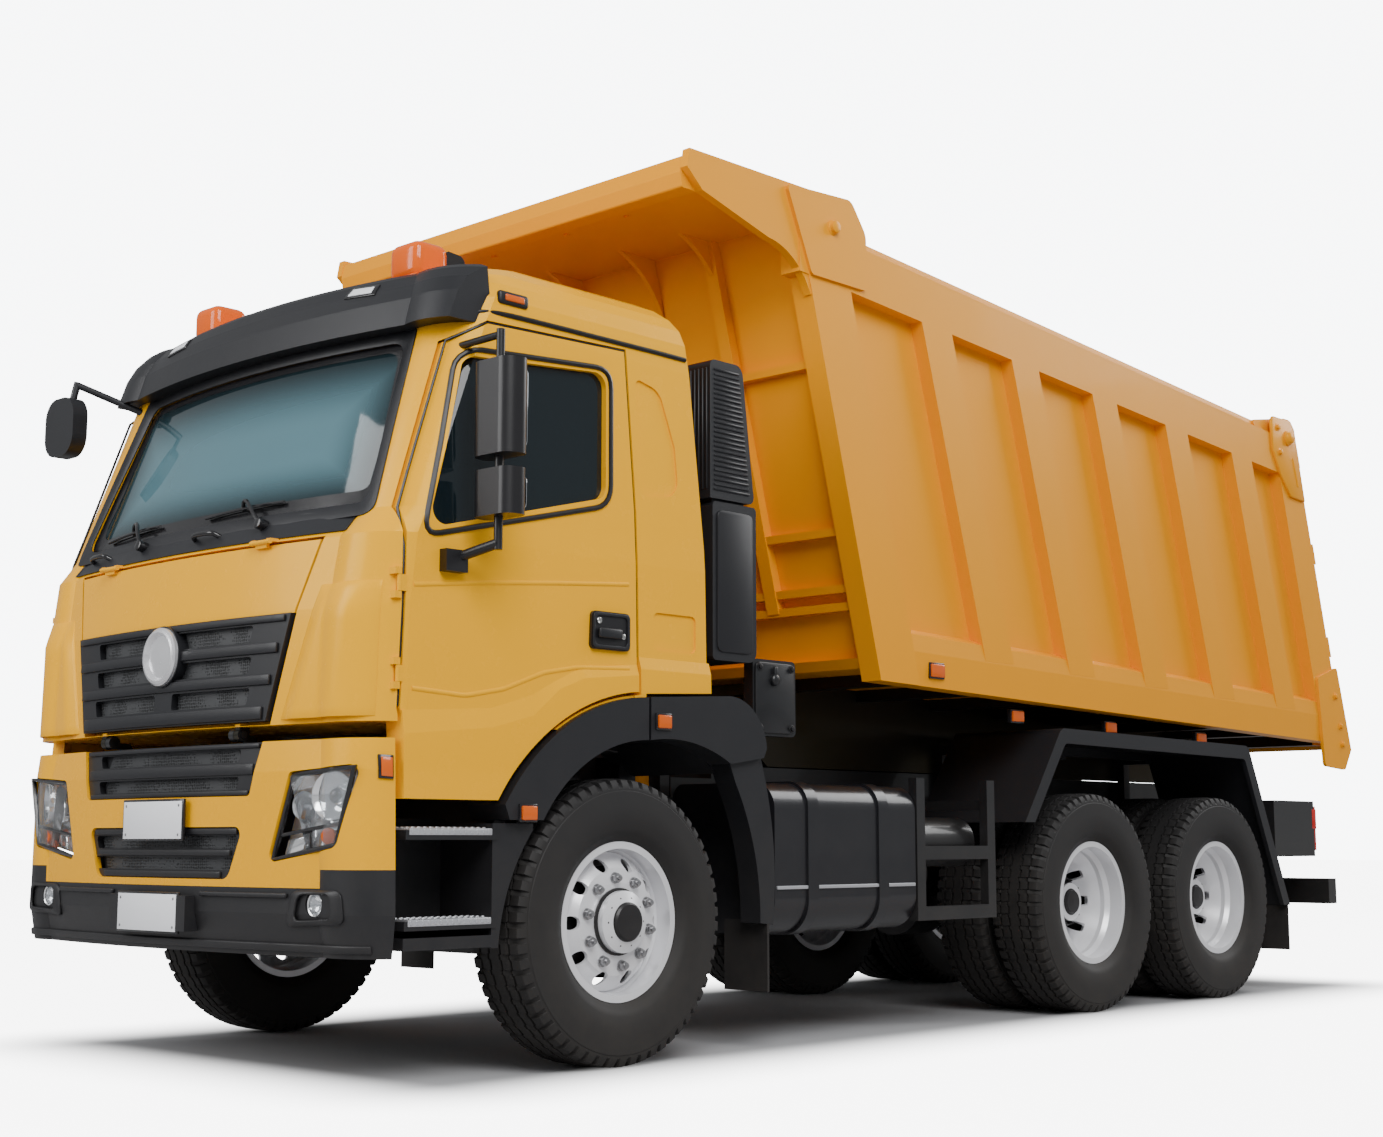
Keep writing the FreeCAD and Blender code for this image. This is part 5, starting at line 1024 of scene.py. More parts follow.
class TRUCK_OT_headlamps(bpy.types.Operator):
    """Adds the headlamps and the fog lamps"""
    bl_idname = "truck.headlamps"
    bl_label = "Headlamps"

    def execute(self, context):
        made = headlamp()
        spot = front_on("front_lamps", *FOG_LAMP)
        profile = [(0.044, -0.02), (0.044, 0.006), (0.041, 0.010), (0.037, 0.008), (0.032, -0.004),
                   (0.018, -0.014), (0.0005, -0.016), (0.0005, -0.02)]
        made["fog"] = spun("fog_reflector", profile, spot, (1, 0, 0), 32)
        profile = [(0.0385, 0.002), (0.0385, 0.006), (0.030, 0.011), (0.014, 0.014), (0.0005, 0.0145),
                   (0.0005, 0.0115), (0.014, 0.011), (0.030, 0.008)]
        made["fog_lens"] = spun("fog_lens", profile, spot, (1, 0, 0), 32)
        for key, piece in made.items():
            both_sides(piece, "chassis", LAMP_LOOKS[key])
        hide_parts("front_lamps")
        return {"FINISHED"}


# Name, body, node, two bars (height, half width), half width of the badge, mesh corners, bars
GRILLES = (
    ("upper_grille", "front_flap", "upper_grille", (1.31, 0.630), (1.655, 0.722), 0.13,
     [(-0.60, 1.33), (0.60, 1.33), (0.67, 1.645), (-0.67, 1.645)],
     ((1.290, 1.337, 0.615), (1.415, 1.452, 0.650), (1.530, 1.567, 0.680), (1.643, 1.667, 0.710))),
    ("lower_grille", "chassis", "lower_grille", (1.028, 0.552), (1.197, 0.598), 0.0,
     [(-0.52, 1.03), (0.52, 1.03), (0.56, 1.195), (-0.56, 1.195)],
     ((1.018, 1.036, 0.545), (1.092, 1.132, 0.565), (1.189, 1.205, 0.590))),
    ("intake", "chassis", "lower_grille", (0.733, 0.430), (0.889, 0.505), 0.0,
     [(-0.43, 0.735), (0.43, 0.735), (0.49, 0.885), (-0.49, 0.885)],
     ((0.720, 0.744, 0.400), (0.800, 0.822, 0.455), (0.878, 0.900, 0.490))),
)


# Half the plates' width, and how deep the lower one's holder is let into the bumper's carrier
PLATE_HALF = 0.20
PLATE_SINK = 0.0125


class TRUCK_OT_front_trim(bpy.types.Operator):
    """Adds the mesh and bars of the grilles, the badge's ring and the blank plates"""
    bl_idname = "truck.front_trim"
    bl_label = "Grilles and plates"

    def execute(self, context):
        ring = [(0.112, 0.0), (0.112, 0.012), (0.104, 0.020), (0.094, 0.022), (0.086, 0.014), (0.080, 0.006),
                (0.040, 0.009), (0.0005, 0.010), (0.0005, 0.0)]
        face = front_on("upper_grille", 0.0, 1.552)
        badge = spun("badge_ring", ring, face, (1, 0, 0), 48)
        seat(badge, "front_flap", "badge_grey")
        for name, body, node, low, high, clear, sheet, bars in GRILLES:
            place = between(node, low, high, -0.027, clear)
            mesh = draped(name + "_mesh", sheet, 24, 3, place, 0.003)
            seat(mesh, body, "grille_mesh")
            blades = []
            for foot, top, half in bars:
                place = between(node, low, high, 0.004, clear)
                blade = draped(name, [(-half, foot), (half, foot), (half, top), (-half, top)], 24, 1, place,
                               0.012, 0.004)
                blades.append(blade)
            seat(joined(name + "_blades", blades), body, "black_trim", 40)
        screws = []
        carrier = front_on("front_bumper", 0.0, 0.592).x - PLATE_SINK
        for number, (x, low, height) in enumerate(((AXLE_X + 1.312, 0.862, 0.14), (carrier, 0.522, 0.136))):
            middle = low + height / 2
            corners = [(-PLATE_HALF, low), (PLATE_HALF, low), (PLATE_HALF, low + height),
                       (-PLATE_HALF, low + height)]
            rim = [(x - 0.001, y * 1.05, middle + (z - middle) * 1.12) for y, z in corners]
            holder = prism("plate_frame_%d" % number, rim, (0.012, 0, 0), 0.003)
            seat(holder, "chassis", "gloss_black")
            face = [(x + 0.008, y, z) for y, z in corners]
            plate = prism("number_plate_%d" % number, face, (0.006, 0, 0), 0.001)
            for y in (-0.182, 0.182):
                for z in (low + 0.016, low + height - 0.016):
                    screws.append(drum("screw", (x + 0.011, y, z), (x + 0.0147, y, z), 0.006, 12, 0.001))
            seat(plate, "chassis", "plate_white")
        seat(joined("plate_screws", screws), "chassis", "nut_steel")
        return {"FINISHED"}


# Cab


class TRUCK_OT_windows(bpy.types.Operator):
    """Adds the rubber seals round the windows"""
    bl_idname = "truck.windows"
    bl_label = "Window seals"

    def execute(self, context):
        outline = rounded([(1.010, 1.930), (0.815, 2.655), (0.060, 2.706), (0.070, 2.155)], 0.085)
        points = [side_on("door_left", p.x, p.y) for p in outline]
        seal = tube("window_seal", points, sizes().seal_width, True, 2, False)
        both_sides(seal, "door_left", "seal_rubber")
        return {"FINISHED"}


def wiper(name, pivot_y, elbow_y, blade_low, blade_high):
    """A wiper: spindle cap, bent arm and blade lying on the windscreen."""
    def glass(y, z, lift):
        spot = front_on("cab_glass", y, z)
        return spot + Vector((lift, 0, lift * 0.35))

    spindle = front_on("cowl", pivot_y, 2.025)
    elbow = glass(elbow_y, 2.135, 0.040)
    first = glass(*blade_low, 0.016)
    last = glass(*blade_high, 0.016)
    middle = first.lerp(last, 0.5)
    cap = drum(name, spindle - Vector((0.02, 0, 0)), spindle + Vector((0.035, 0, 0.012)), 0.022, 20, 0.005)
    arm = tube(name, [spindle + Vector((0.02, 0, 0.006)), spindle.lerp(elbow, 0.5) + Vector((0.02, 0, 0.01)),
                      elbow, elbow.lerp(middle, 0.6) + Vector((0.012, 0, 0.01)), middle], 0.0085, False, 2)
    blade = tube(name, [first, first.lerp(last, 0.25) + Vector((0.010, 0, 0.004)),
                        first.lerp(last, 0.75) + Vector((0.010, 0, 0.004)), last], 0.0065, False, 2)
    lip = tube(name, [first - Vector((0.008, 0, 0)), last - Vector((0.008, 0, 0))], 0.003, False, 1)
    return joined(name, [cap, arm, blade, lip])


class TRUCK_OT_wipers(bpy.types.Operator):
    """Adds the two wipers"""
    bl_idname = "truck.wipers"
    bl_label = "Wipers"

    def execute(self, context):
        for name, *spots in (("wiper_left", 0.446, 0.30, (0.02, 2.10), (0.50, 2.115)),
                             ("wiper_right", -0.379, -0.50, (-0.80, 2.095), (-0.33, 2.11))):
            seat(wiper(name, *spots), "cab", "gloss_black")
        return {"FINISHED"}


class TRUCK_OT_screen_border(bpy.types.Operator):
    """Adds the black border on the windscreen and the black trim along its pillars"""
    bl_idname = "truck.screen_border"
    bl_label = "Windscreen border"

    def execute(self, context):
        place = on_front("cab_glass", 0.0015)
        outer = rounded([(-0.977, 2.066), (0.977, 2.066), (0.878, 2.727), (-0.878, 2.727)], 0.062, 5, 9)
        inner = rounded([(-0.930, 2.125), (0.930, 2.125), (0.842, 2.690), (-0.842, 2.690)], 0.062, 5, 9)
        border = band("screen_border", [place(*p) for p in outer], [place(*p) for p in inner], 0.002)
        seat(border, "cab", "gloss_black", slot="rubber")
        place = on_front_edge("cab_shell", 0.003, 0.6)
        reveal = on_front("cab_glass", 0.017)
        outer = rounded([(-1.030, 2.015), (1.030, 2.015), (0.925, 2.800), (-0.925, 2.800)], 0.062, 5, 9)
        inner = rounded([(-0.970, 2.072), (0.970, 2.072), (0.871, 2.722), (-0.871, 2.722)], 0.062, 5, 9)
        frame_trim = band("screen_frame", [place(*p) for p in outer], [reveal(*p) for p in inner],
                          0.006, 0.002)
        seat(frame_trim, "cab", "black_trim")
        return {"FINISHED"}


class TRUCK_OT_roof_trim(bpy.types.Operator):
    """Adds the drip rails, the lamps on the roof's sides and the visor's lamps"""
    bl_idname = "truck.roof_trim"
    bl_label = "Roof trim"

    def execute(self, context):
        place = on_side("cab_shell", 0.002)
        line = [place(x, z) for x, z in ((0.78, 2.795), (0.74, 2.812), (0.66, 2.820), (0.40, 2.822),
                                         (0.0, 2.822), (-0.25, 2.822), (-0.37, 2.820))]
        both_sides(tube("drip_rail", line, 0.010, False, 3), "cab", "seal_rubber")
        spot = side_on("cab_shell", 0.573, 2.886)
        base = block("roof_lamp_base", spot - Vector((0.075, 0.012, 0.026)),
                     spot + Vector((0.075, 0.016, 0.026)), 0.014, 4)
        lens = block("roof_lamp_lens", spot + Vector((-0.048, 0.010, -0.013)),
                     spot + Vector((0.048, 0.021, 0.013)), 0.007, 3)
        both_sides(base, "cab", "black_trim", 50)
        both_sides(lens, "cab", "amber_glass", 50)
        place = on_front("sun_visor", 0.002)
        corners = [(0.555, 2.935), (0.725, 2.925), (0.715, 2.975), (0.565, 2.985)]
        rim = draped("visor_lamp_rim", corners, 6, 3, place, 0.008, 0.003)
        inset = [(0.575, 2.944), (0.703, 2.937), (0.697, 2.967), (0.582, 2.975)]
        glow = draped("visor_lamp_lens", inset, 6, 3, on_front("sun_visor", 0.006), 0.006, 0.002)
        both_sides(rim, "cab", "gloss_black")
        both_sides(glow, "cab", "plate_white", slot="lamp_lens")
        return {"FINISHED"}


# Points just inside the door's edge, the shut gap beside them, and how deep its rubber lies
DOOR_SEAM = (
    ((1.072, 1.330), (1.090, 1.322), 0.020), ((1.050, 2.030), (1.067, 2.034), 0.018),
    ((0.822, 2.676), (0.838, 2.692), 0.014), ((0.698, 2.756), (0.702, 2.774), 0.010),
    ((-0.004, 2.776), (-0.021, 2.796), 0.010), ((-0.050, 2.139), (-0.066, 2.139), 0.010),
    ((-0.061, 1.450), (-0.079, 1.428), 0.010))
FLAP_SEAM = (
    (("cab_flap", 0.812, 1.925), (0.833, 1.930), 0.014), (("cab_flap", 0.728, 1.690), (0.749, 1.688), 0.014),
    (("upper_grille", 0.726, 1.660), (0.744, 1.664), 0.026),
    (("upper_grille", 0.630, 1.300), (0.642, 1.290), 0.026))


# Stretches between two points of a seam or swage
RUNS = 5
# The vane: heights of its foot and top, and its outer edge
VANE_FOOT = 1.285
VANE_TOP = 1.765
VANE_OUT = 1.135


def vane_place(y, z):
    """A point of the cab corner's raised vane: flush at its edges, proud along its ridge."""
    rise = (z - VANE_FOOT) / (VANE_TOP - VANE_FOOT)
    inner = 0.70 + 0.16 * rise
    across = (y - inner) / (VANE_OUT - inner)
    share = min(1, across / 0.16) * min(1, (1 - across) / 0.35) * min(1, (1 - rise) / 0.22 + 0.05)
    return front_on("cab_shell", y, z) + Vector((0.9, 0.43, 0)) * (0.026 * max(share, 0) - 0.003)


# The lines of the door's two swages
SWAGES = (((1.045, 1.752), (0.70, 1.790), (0.35, 1.822), (-0.025, 1.852)),
          ((1.045, 1.385), (0.80, 1.372), (0.62, 1.405), (0.42, 1.478), (0.25, 1.508), (-0.025, 1.520)))


class TRUCK_OT_corners(bpy.types.Operator):
    """Adds the raised vanes on the cab's front corners and the swages of the doors"""
    bl_idname = "truck.corners"
    bl_label = "Cab corners"

    def execute(self, context):
        vane = draped("corner_vane", [(0.70, VANE_FOOT), (VANE_OUT, VANE_FOOT), (VANE_OUT, VANE_TOP),
                                      (0.86, VANE_TOP)], 22, 14, vane_place, 0.008, 0.002)
        both_sides(vane, "cab", "cab_yellow", 50)
        place = on_side("door_left", -0.0075)
        swages = []
        for line in SWAGES:
            points = []
            for first, last in zip(line, line[1:]):
                for step in range(RUNS):
                    points.append(place(*Vector(first).lerp(Vector(last), step / RUNS)))
            points.append(place(*line[-1]))
            swages.append(tube("swage", points, 0.012, False, 4))
        both_sides(joined("door_swages", swages), "door_left", "cab_yellow", 60)
        return {"FINISHED"}


class TRUCK_OT_beacons(bpy.types.Operator):
    """Adds the moulded lenses of the two beacons and the grips of the cowl"""
    bl_idname = "truck.beacons"
    bl_label = "Beacons and grips"

    def execute(self, context):
        low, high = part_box("beacons")
        lens = block("beacon", (low.x, high.y - 0.18, low.z + 0.012), (high.x, high.y, high.z), 0.042, 5)
        foot = block("beacon", (low.x + 0.004, high.y - 0.176, low.z),
                     (high.x - 0.004, high.y - 0.004, low.z + 0.03), 0.006)
        beacon = joined("beacon", [lens, foot])
        both_sides(beacon, "cab", "beacon_glass", 60)
        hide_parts("beacons")
        grips = []
        for y in (0.108, -0.752):
            row = [front_on("cowl", y + across, 2.012) + Vector((lift, 0, lift * 0.6)) for across, lift in
                   ((-0.082, -0.006), (-0.074, 0.014), (-0.055, 0.026), (0.055, 0.026), (0.074, 0.014),
                    (0.082, -0.006))]
            grips.append(tube("cowl_grip", row, 0.010, False, 3))
        seat(joined("cowl_grips", grips), "cab", "gloss_black", 60)
        return {"FINISHED"}


class TRUCK_OT_seams(bpy.types.Operator):
    """Adds the dark rubber in the shut gaps of the doors and the front flap"""
    bl_idname = "truck.seams"
    bl_label = "Shut gaps"

    def execute(self, context):
        line = []
        for (near, gap, deep), (near_2, gap_2, deep_2) in zip(DOOR_SEAM, DOOR_SEAM[1:]):
            for step in range(RUNS):
                share = step / RUNS
                inside = Vector(near).lerp(Vector(near_2), share)
                spot = Vector(gap).lerp(Vector(gap_2), share)
                y = side_on("door_left", inside.x, inside.y).y - deep - (deep_2 - deep) * share
                line.append(at(spot.x, y, spot.y))
        both_sides(tube("door_seam", line, 0.0055, False, 2, False), "cab", "seal_rubber")
        line = []
        for (node, y, z), gap, deep in FLAP_SEAM:
            x = front_on(node, y, z).x - deep
            line.append(Vector((x, gap[0], gap[1])))
        both_sides(tube("flap_seam", line, 0.0055, False, 2, False), "cab", "seal_rubber")
        return {"FINISHED"}


# The radius of the front arches' liners
LINER_R = 0.662


class TRUCK_OT_liners(bpy.types.Operator):
    """Adds the liners of the front wheel arches, dark plates inside them that stand in for shade, and the
    front brake discs
    """
    bl_idname = "truck.liners"
    bl_label = "Arch liners"

    def execute(self, context):
        def arch(angle, y):
            return at(LINER_R * math.cos(angle), y, WHEEL_R + LINER_R * math.sin(angle))

        corners = [(0.55, 0.47), (1.72, 0.47), (1.72, 1.06), (0.55, 1.06)]
        liner = draped("arch_liner", corners, 18, 3, arch, 0.006)
        both_sides(liner, "cab", "flap_rubber")
        # A dark plate inside each front arch, put where there is only shade
        shade = block("arch_shade", at(-0.74, 0.455, 0.98), at(0.63, 0.461, 1.245), 0.002)
        both_sides(shade, "chassis", "flap_rubber")
        profile = [(0.215, 0.0), (0.215, 0.020), (0.195, 0.026), (0.120, 0.030), (0.060, 0.030),
                   (0.060, 0.0)]
        for side, sign in SIDES.items():
            spot = at(0, sign * (TYRE_MIDDLE + 0.010), WHEEL_R)
            disc = spun("brake_disc_" + side, profile, spot, (0, sign, 0), 48)
            seat(disc, "front_wheel_" + side, "hub_black")
        return {"FINISHED"}


class TRUCK_OT_bumper(bpy.types.Operator):
    """Adds the bumper's lips, the surrounds of the fog lamps and the lamps on the panel's corners"""
    bl_idname = "truck.bumper"
    bl_label = "Bumper trim"

    def execute(self, context):
        place = on_front("front_bumper", 0.006)
        strips = []
        for low, high, near, far in ((0.470, 0.497, -1.15, 1.15), (0.655, 0.672, 0.30, 0.78),
                                     (0.655, 0.672, -0.78, -0.30)):
            corners = [(near, low), (far, low), (far, high), (near, high)]
            strips.append(draped("lip", corners, 30, 1, place, 0.014, 0.005))
        seat(joined("bumper_lips", strips), "chassis", "black_trim", 45)
        outer = rounded([(0.775, 0.555), (1.075, 0.570), (1.060, 0.684), (0.800, 0.680)], 0.03, 4, 3)
        inner = rounded([(0.820, 0.576), (1.030, 0.586), (1.020, 0.672), (0.840, 0.668)], 0.03, 4, 3)

        def upright(y, z, lift):
            spot = front_on("front_bumper", y, min(z, 0.583))
            return Vector((spot.x + lift, y, z))

        ring = band("fog_surround", [upright(p.x, p.y, 0.004) for p in outer],
                    [upright(p.x, p.y, 0.014) for p in inner], 0.010, 0.003)
        both_sides(ring, "chassis", "black_trim", 45)
        corners = [(1.112, 1.066), (1.158, 1.069), (1.158, 1.152), (1.112, 1.149)]
        base = draped("panel_marker_base", corners, 3, 2, on_side("lower_panel", 0.004), 0.010, 0.003)
        corners = [(1.118, 1.074), (1.152, 1.077), (1.152, 1.144), (1.118, 1.141)]
        lens = draped("panel_marker", corners, 3, 2, on_side("lower_panel", 0.010), 0.010, 0.003)
        both_sides(base, "chassis", "gloss_black")
        both_sides(lens, "chassis", "amber_glass")
        return {"FINISHED"}


# How far ahead of the front axle the back of each side's mirrors lies
MIRROR_BACK = {"left": 0.800, "right": 0.640}


class TRUCK_OT_doors(bpy.types.Operator):
    """Adds the door handles' dished surrounds, grips and locks, and the mirrors' glass"""
    bl_idname = "truck.doors"
    bl_label = "Door fittings"

    def execute(self, context):
        face = side_on("door_fittings_left", 0.09, 1.66).y
        spot = at(0, face, 0)
        rings = []
        for corners in ([(-0.016, 1.589), (0.186, 1.589), (0.181, 1.728), (-0.016, 1.728)],
                        [(-0.002, 1.602), (0.172, 1.602), (0.168, 1.715), (-0.002, 1.715)]):
            rings.append([spot + Vector((p.x, 0.002, p.y)) for p in rounded(corners, 0.02)])
        rim = band("handle_rim", *rings, 0.008, 0.002)
        grip = block("grip", spot + Vector((0.035, 0.002, 1.628)),
                     spot + Vector((0.160, 0.020, 1.668)), 0.009, 3)
        lock = spun("lock", [(0.013, 0.0), (0.013, 0.005), (0.010, 0.007), (0.004, 0.005), (0.0005, 0.005),
                             (0.0005, 0.0)], spot + Vector((0.150, 0.001, 1.695)), (0, 1, 0), 20)
        key = spun("key", [(0.011, 0.0), (0.011, 0.005), (0.008, 0.007), (0.0005, 0.006), (0.0005, 0.0)],
                   spot + Vector((0.020, 0.001, 1.640)), (0, 1, 0), 20)
        handle = joined("handle_grip", [rim, grip])
        both_sides(handle, "door_left", "black_trim", 45)
        both_sides(joined("handle_lock", [lock, key]), "door_left", "rod_steel", 45)
        for side, sign in SIDES.items():
            x = MIRROR_BACK[side]
            for name, low, high in (("tall", 2.255, 2.545), ("wide", 2.030, 2.150)):
                outline = rounded([(sign * 1.270, low), (sign * 1.445, low), (sign * 1.445, high),
                                   (sign * 1.270, high)], 0.025)
                glass = prism("mirror_%s_%s" % (name, side), [at(x - 0.056, p.x, p.y) for p in outline],
                              (-0.003, 0, 0), 0.001)
                seat(glass, "door_" + side, "mirror_glass")
        return {"FINISHED"}


# The treads' studs: columns and rows with their pitches, and the teeth of the outer edge
STUDS = (13, 0.0275, 4, 0.027)
TEETH = (14, 0.0269)


class TRUCK_OT_steps(bpy.types.Operator):
    """Adds the pale perforated treads of the cab steps"""
    bl_idname = "truck.steps"
    bl_label = "Step treads"

    def execute(self, context):
        for name, z in (("upper", 0.893), ("lower", 0.578)):
            low = at(0.665, 1.075, z - 0.019)
            high = at(1.045, 1.197, z + 0.006)
            plate = block("tread", low, high, 0.004)
            studs = []
            profile = [(0.0075, 0.0), (0.0075, 0.002), (0.0055, 0.005), (0.0035, 0.004), (0.0005, 0.003),
                       (0.0005, 0.0)]
            stud = spun("stud", profile, (0, 0, 0), (0, 0, 1), 10)
            columns, pitch, rows, row_pitch = STUDS
            for column in range(columns):
                for row in range(rows):
                    spot = at(0.691 + pitch * column, 1.096 + row_pitch * row, z + 0.0058)
                    studs.append(shifted(stud, "stud", spot))
            teeth = []
            columns, pitch = TEETH
            for column in range(columns):
                x = 0.680 + pitch * column
                teeth.append(block("tooth", at(x - 0.006, 1.192, z - 0.014),
                                   at(x + 0.006, 1.200, z + 0.002), 0.002, 1))
            bpy.data.objects.remove(stud)
            tread = joined("step_tread_" + name, [plate] + studs + teeth)
            both_sides(tread, "chassis", "step_metal")
        return {"FINISHED"}


# How many ribs and slats the intake stack has, and their pitches
RIBS = (26, 0.0203)
SLATS = (9, 0.0226)


class TRUCK_OT_stack(bpy.types.Operator):
    """Adds the intake stack's ribbed panels and the valve box's lid, bolts and knob"""
    bl_idname = "truck.stack"
    bl_label = "Intake stack and valve box"

    def execute(self, context):
        face = side_on("air_intake", -0.62, 2.55).y
        ribs = []
        count, pitch = RIBS
        for number in range(count):
            z = 2.296 + number * pitch
            back = -0.752 + (z - 2.262) * 0.127
            ribs.append(block("rib", at(back, face - 0.003, z), at(-0.530, face + 0.005, z + 0.011),
                              0.0025, 1))
        seat(joined("stack_ribs", ribs), "chassis", "black_trim", 45)
        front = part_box("air_intake")[1].x
        slats = []
        count, pitch = SLATS
        for number in range(count):
            y = 0.978 + number * pitch
            slats.append(block("slat", (front - 0.006, y, 2.300), (front + 0.005, y + 0.011, 2.815),
                               0.0025, 1))
        seat(joined("stack_slats", slats), "chassis", "black_trim", 45)
        face = side_on("air_intake", -0.65, 1.9).y
        outline = rounded([(-0.765, 1.625), (-0.545, 1.625), (-0.545, 2.215), (-0.765, 2.215)], 0.035)
        panel = prism("duct_panel", [at(p.x, face - 0.001, p.y) for p in outline], (0, 0.007, 0), 0.003)
        seat(panel, "chassis", "black_trim", 45)
        face = side_on("side_equipment", -0.98, 1.46).y
        outline = rounded([(-1.104, 1.308), (-0.851, 1.308), (-0.851, 1.609), (-1.104, 1.609)], 0.035)
        lid = prism("valve_lid", [at(p.x, face - 0.001, p.y) for p in outline], (0, 0.009, 0), 0.004)
        knob = spun("knob", [(0.026, 0.0), (0.026, 0.012), (0.022, 0.020), (0.012, 0.024), (0.0005, 0.024),
                             (0.0005, 0.0)], at(-0.965, face + 0.007, 1.535), (0, 1, 0), 24)
        stem = block("knob_stem", at(-0.976, face + 0.012, 1.535), at(-0.954, face + 0.026, 1.592), 0.005)
        bolts = [bolt("bolt", at(x, face + 0.007, z), (0, 1, 0), 0.020)
                 for x in (-1.080, -0.875) for z in (1.330, 1.587)]
        seat(joined("valve_lid", [lid, knob, stem]), "chassis", "frame_black", 45)
        seat(joined("valve_bolts", bolts), "chassis", "hub_black", 45, slot="rod_steel")
        return {"FINISHED"}


class TRUCK_OT_bed_bolts(bpy.types.Operator):
    """Adds the bed's corner pins, hinge plates and lock bolts, the tail lenses and the tank's strip"""
    bl_idname = "truck.bed_bolts"
    bl_label = "Bed and rear fittings"

    def execute(self, context):
        pin = side_on("headboard", -1.279, 3.583)
        cap = spun("plate_pin", [(0.036, 0.0), (0.036, 0.006), (0.030, 0.010), (0.027, 0.026), (0.020, 0.030),
                                 (0.0005, 0.030), (0.0005, 0.0)], pin - Vector((0, 0.022, 0)), (0, 1, 0), 24)
        both_sides(joined("corner_pins", [cap]), "bed", "bed_yellow", 45)
        face = side_on("bed_tub", -5.60, 3.15).y
        outline = [(-5.40, 3.350), (-5.41, 3.170), (-5.50, 3.030), (-5.620, 2.910), (-5.800, 2.900),
                   (-5.735, 3.160), (-5.695, 3.330), (-5.650, 3.378), (-5.430, 3.378)]
        plate = prism("hinge_plate", [at(x, face - 0.004, z) for x, z in outline], (0, 0.020, 0), 0.006)
        face += 0.014
        profile = [(0.046, 0.0), (0.046, 0.010), (0.038, 0.015), (0.034, 0.030), (0.026, 0.036),
                   (0.0005, 0.036), (0.0005, 0.0)]
        eye = spun("hinge_eye", profile, at(-5.595, face, 3.265), (0, 1, 0), 28)
        slot = tube("hinge_slot", [at(-5.650, face, 3.150), at(-5.710, face, 2.980)], 0.008, False, 3)
        heads = [bolt("hinge_bolt", at(x, face, z), (0, 1, 0), 0.030)
                 for x, z in ((-5.470, 3.315), (-5.490, 3.165))]
        for x, z in ((-6.085, 1.730), (-6.140, 1.550), (-6.155, 1.440)):
            heads.append(bolt("lock_bolt", side_on("bed_tub", x, z), (0, 1, 0), 0.026))
        both_sides(joined("hinge_plate", [plate, eye, slot] + heads), "bed", "bed_yellow", 45)
        lens = block("tail_lens", at(-5.857, 1.150, 0.925), at(-5.800, 1.181, 1.045), 0.006, 3)
        both_sides(lens, "chassis", "red_glass", 60)
        strip = block("tank_strip", at(-1.868, 1.176, 0.653), at(-0.915, 1.187, 0.668), 0.003)
        seat(strip, "chassis", "step_metal")
        return {"FINISHED"}


class TRUCK_OT_markers(bpy.types.Operator):
    """Adds the side marker lamps on both sides"""
    bl_idname = "truck.markers"
    bl_label = "Marker lamps"

    def execute(self, context):
        spots = []
        for name, node, x, z, body in (("arch_marker", "rear_flares", -0.19, 1.319, "chassis"),
                                       ("front_marker", "front_flares", 0.52, 0.955, "cab")):
            spots.append((name, side_on(node, x, z), body, 0.036, 0.026))
        spots.append(("bed_marker", side_on("bed_tub", -2.022, 1.635), "bed", 0.050, 0.030))
        for number, x in enumerate((-2.781, -3.640, -4.583)):
            spots.append(("side_marker_%d" % number, at(x, 1.13, 1.462 - number * 0.02), "bed", 0.048, 0.026))
        for name, spot, body, wide, high in spots:
            low = spot + Vector((-wide, -0.006, -high))
            top = spot + Vector((wide, 0.018, high))
            base = block(name + "_base", low - Vector((0.008, 0.012, 0.008)),
                         top + Vector((0.008, -0.010, 0.008)), 0.004)
            both_sides(base, body, "gloss_black")
            both_sides(block(name, low, top, 0.005, 3), body, "amber_glass")
        return {"FINISHED"}


# Stage


# How bright the floor and the backdrop are to the camera, and the light that the sky gives
FLOOR_SIZE = 160.0
FLOOR_GLOW = 7.0
BACKDROP_GLOW = 8.0
SKY_LIGHT = 0.40
# The floor's glow fades out over this reach round a box, a painted shadow under the truck: axis, half length,
# middle
SHADE_REACH = 0.9
SHADOW_BOX = (("X", 3.35, -0.1), ("Y", 1.05, 0.0))
# Name, place, target, size, power
LIGHTS = (("key", (7.0, 9.0, 9.5), (0.5, 0, 1.6), 7.0, 1500.0),
          ("fill", (11.0, -3.0, 6.0), (2.0, 0, 1.5), 6.0, 650.0),
          ("rim", (-9.0, 4.0, 8.0), (-1.5, 0, 2.0), 6.0, 700.0))
# The photo's camera: its place, its focal length in the photo's pixels, its yaw and pitch in degrees
CAMERA = (7.8825, 6.659, 0.853)
PHOTO_WIDTH = 1383
FOCAL = 1978.3
YAW = 223.3307
PITCH = 7.851


def painted_floor_shadow(tree, place):
    """Painted shadow on the floor: its glow fades out under the truck, where the truck's real soft shadow
    also shows.
    """
    spot = axes(tree, place)
    total = None
    for axis, half, middle in SHADOW_BOX:
        away = math_node(tree, "ABSOLUTE", math_node(tree, "SUBTRACT", spot[axis], middle), 0.0)
        past = math_node(tree, "MAXIMUM", math_node(tree, "SUBTRACT", away, half), 0.0)
        square = math_node(tree, "MULTIPLY", past, past)
        total = square if total is None else math_node(tree, "ADD", total, square)
    return ramp(tree, math_node(tree, "SQRT", total, 0.0), 0.0, SHADE_REACH, True)


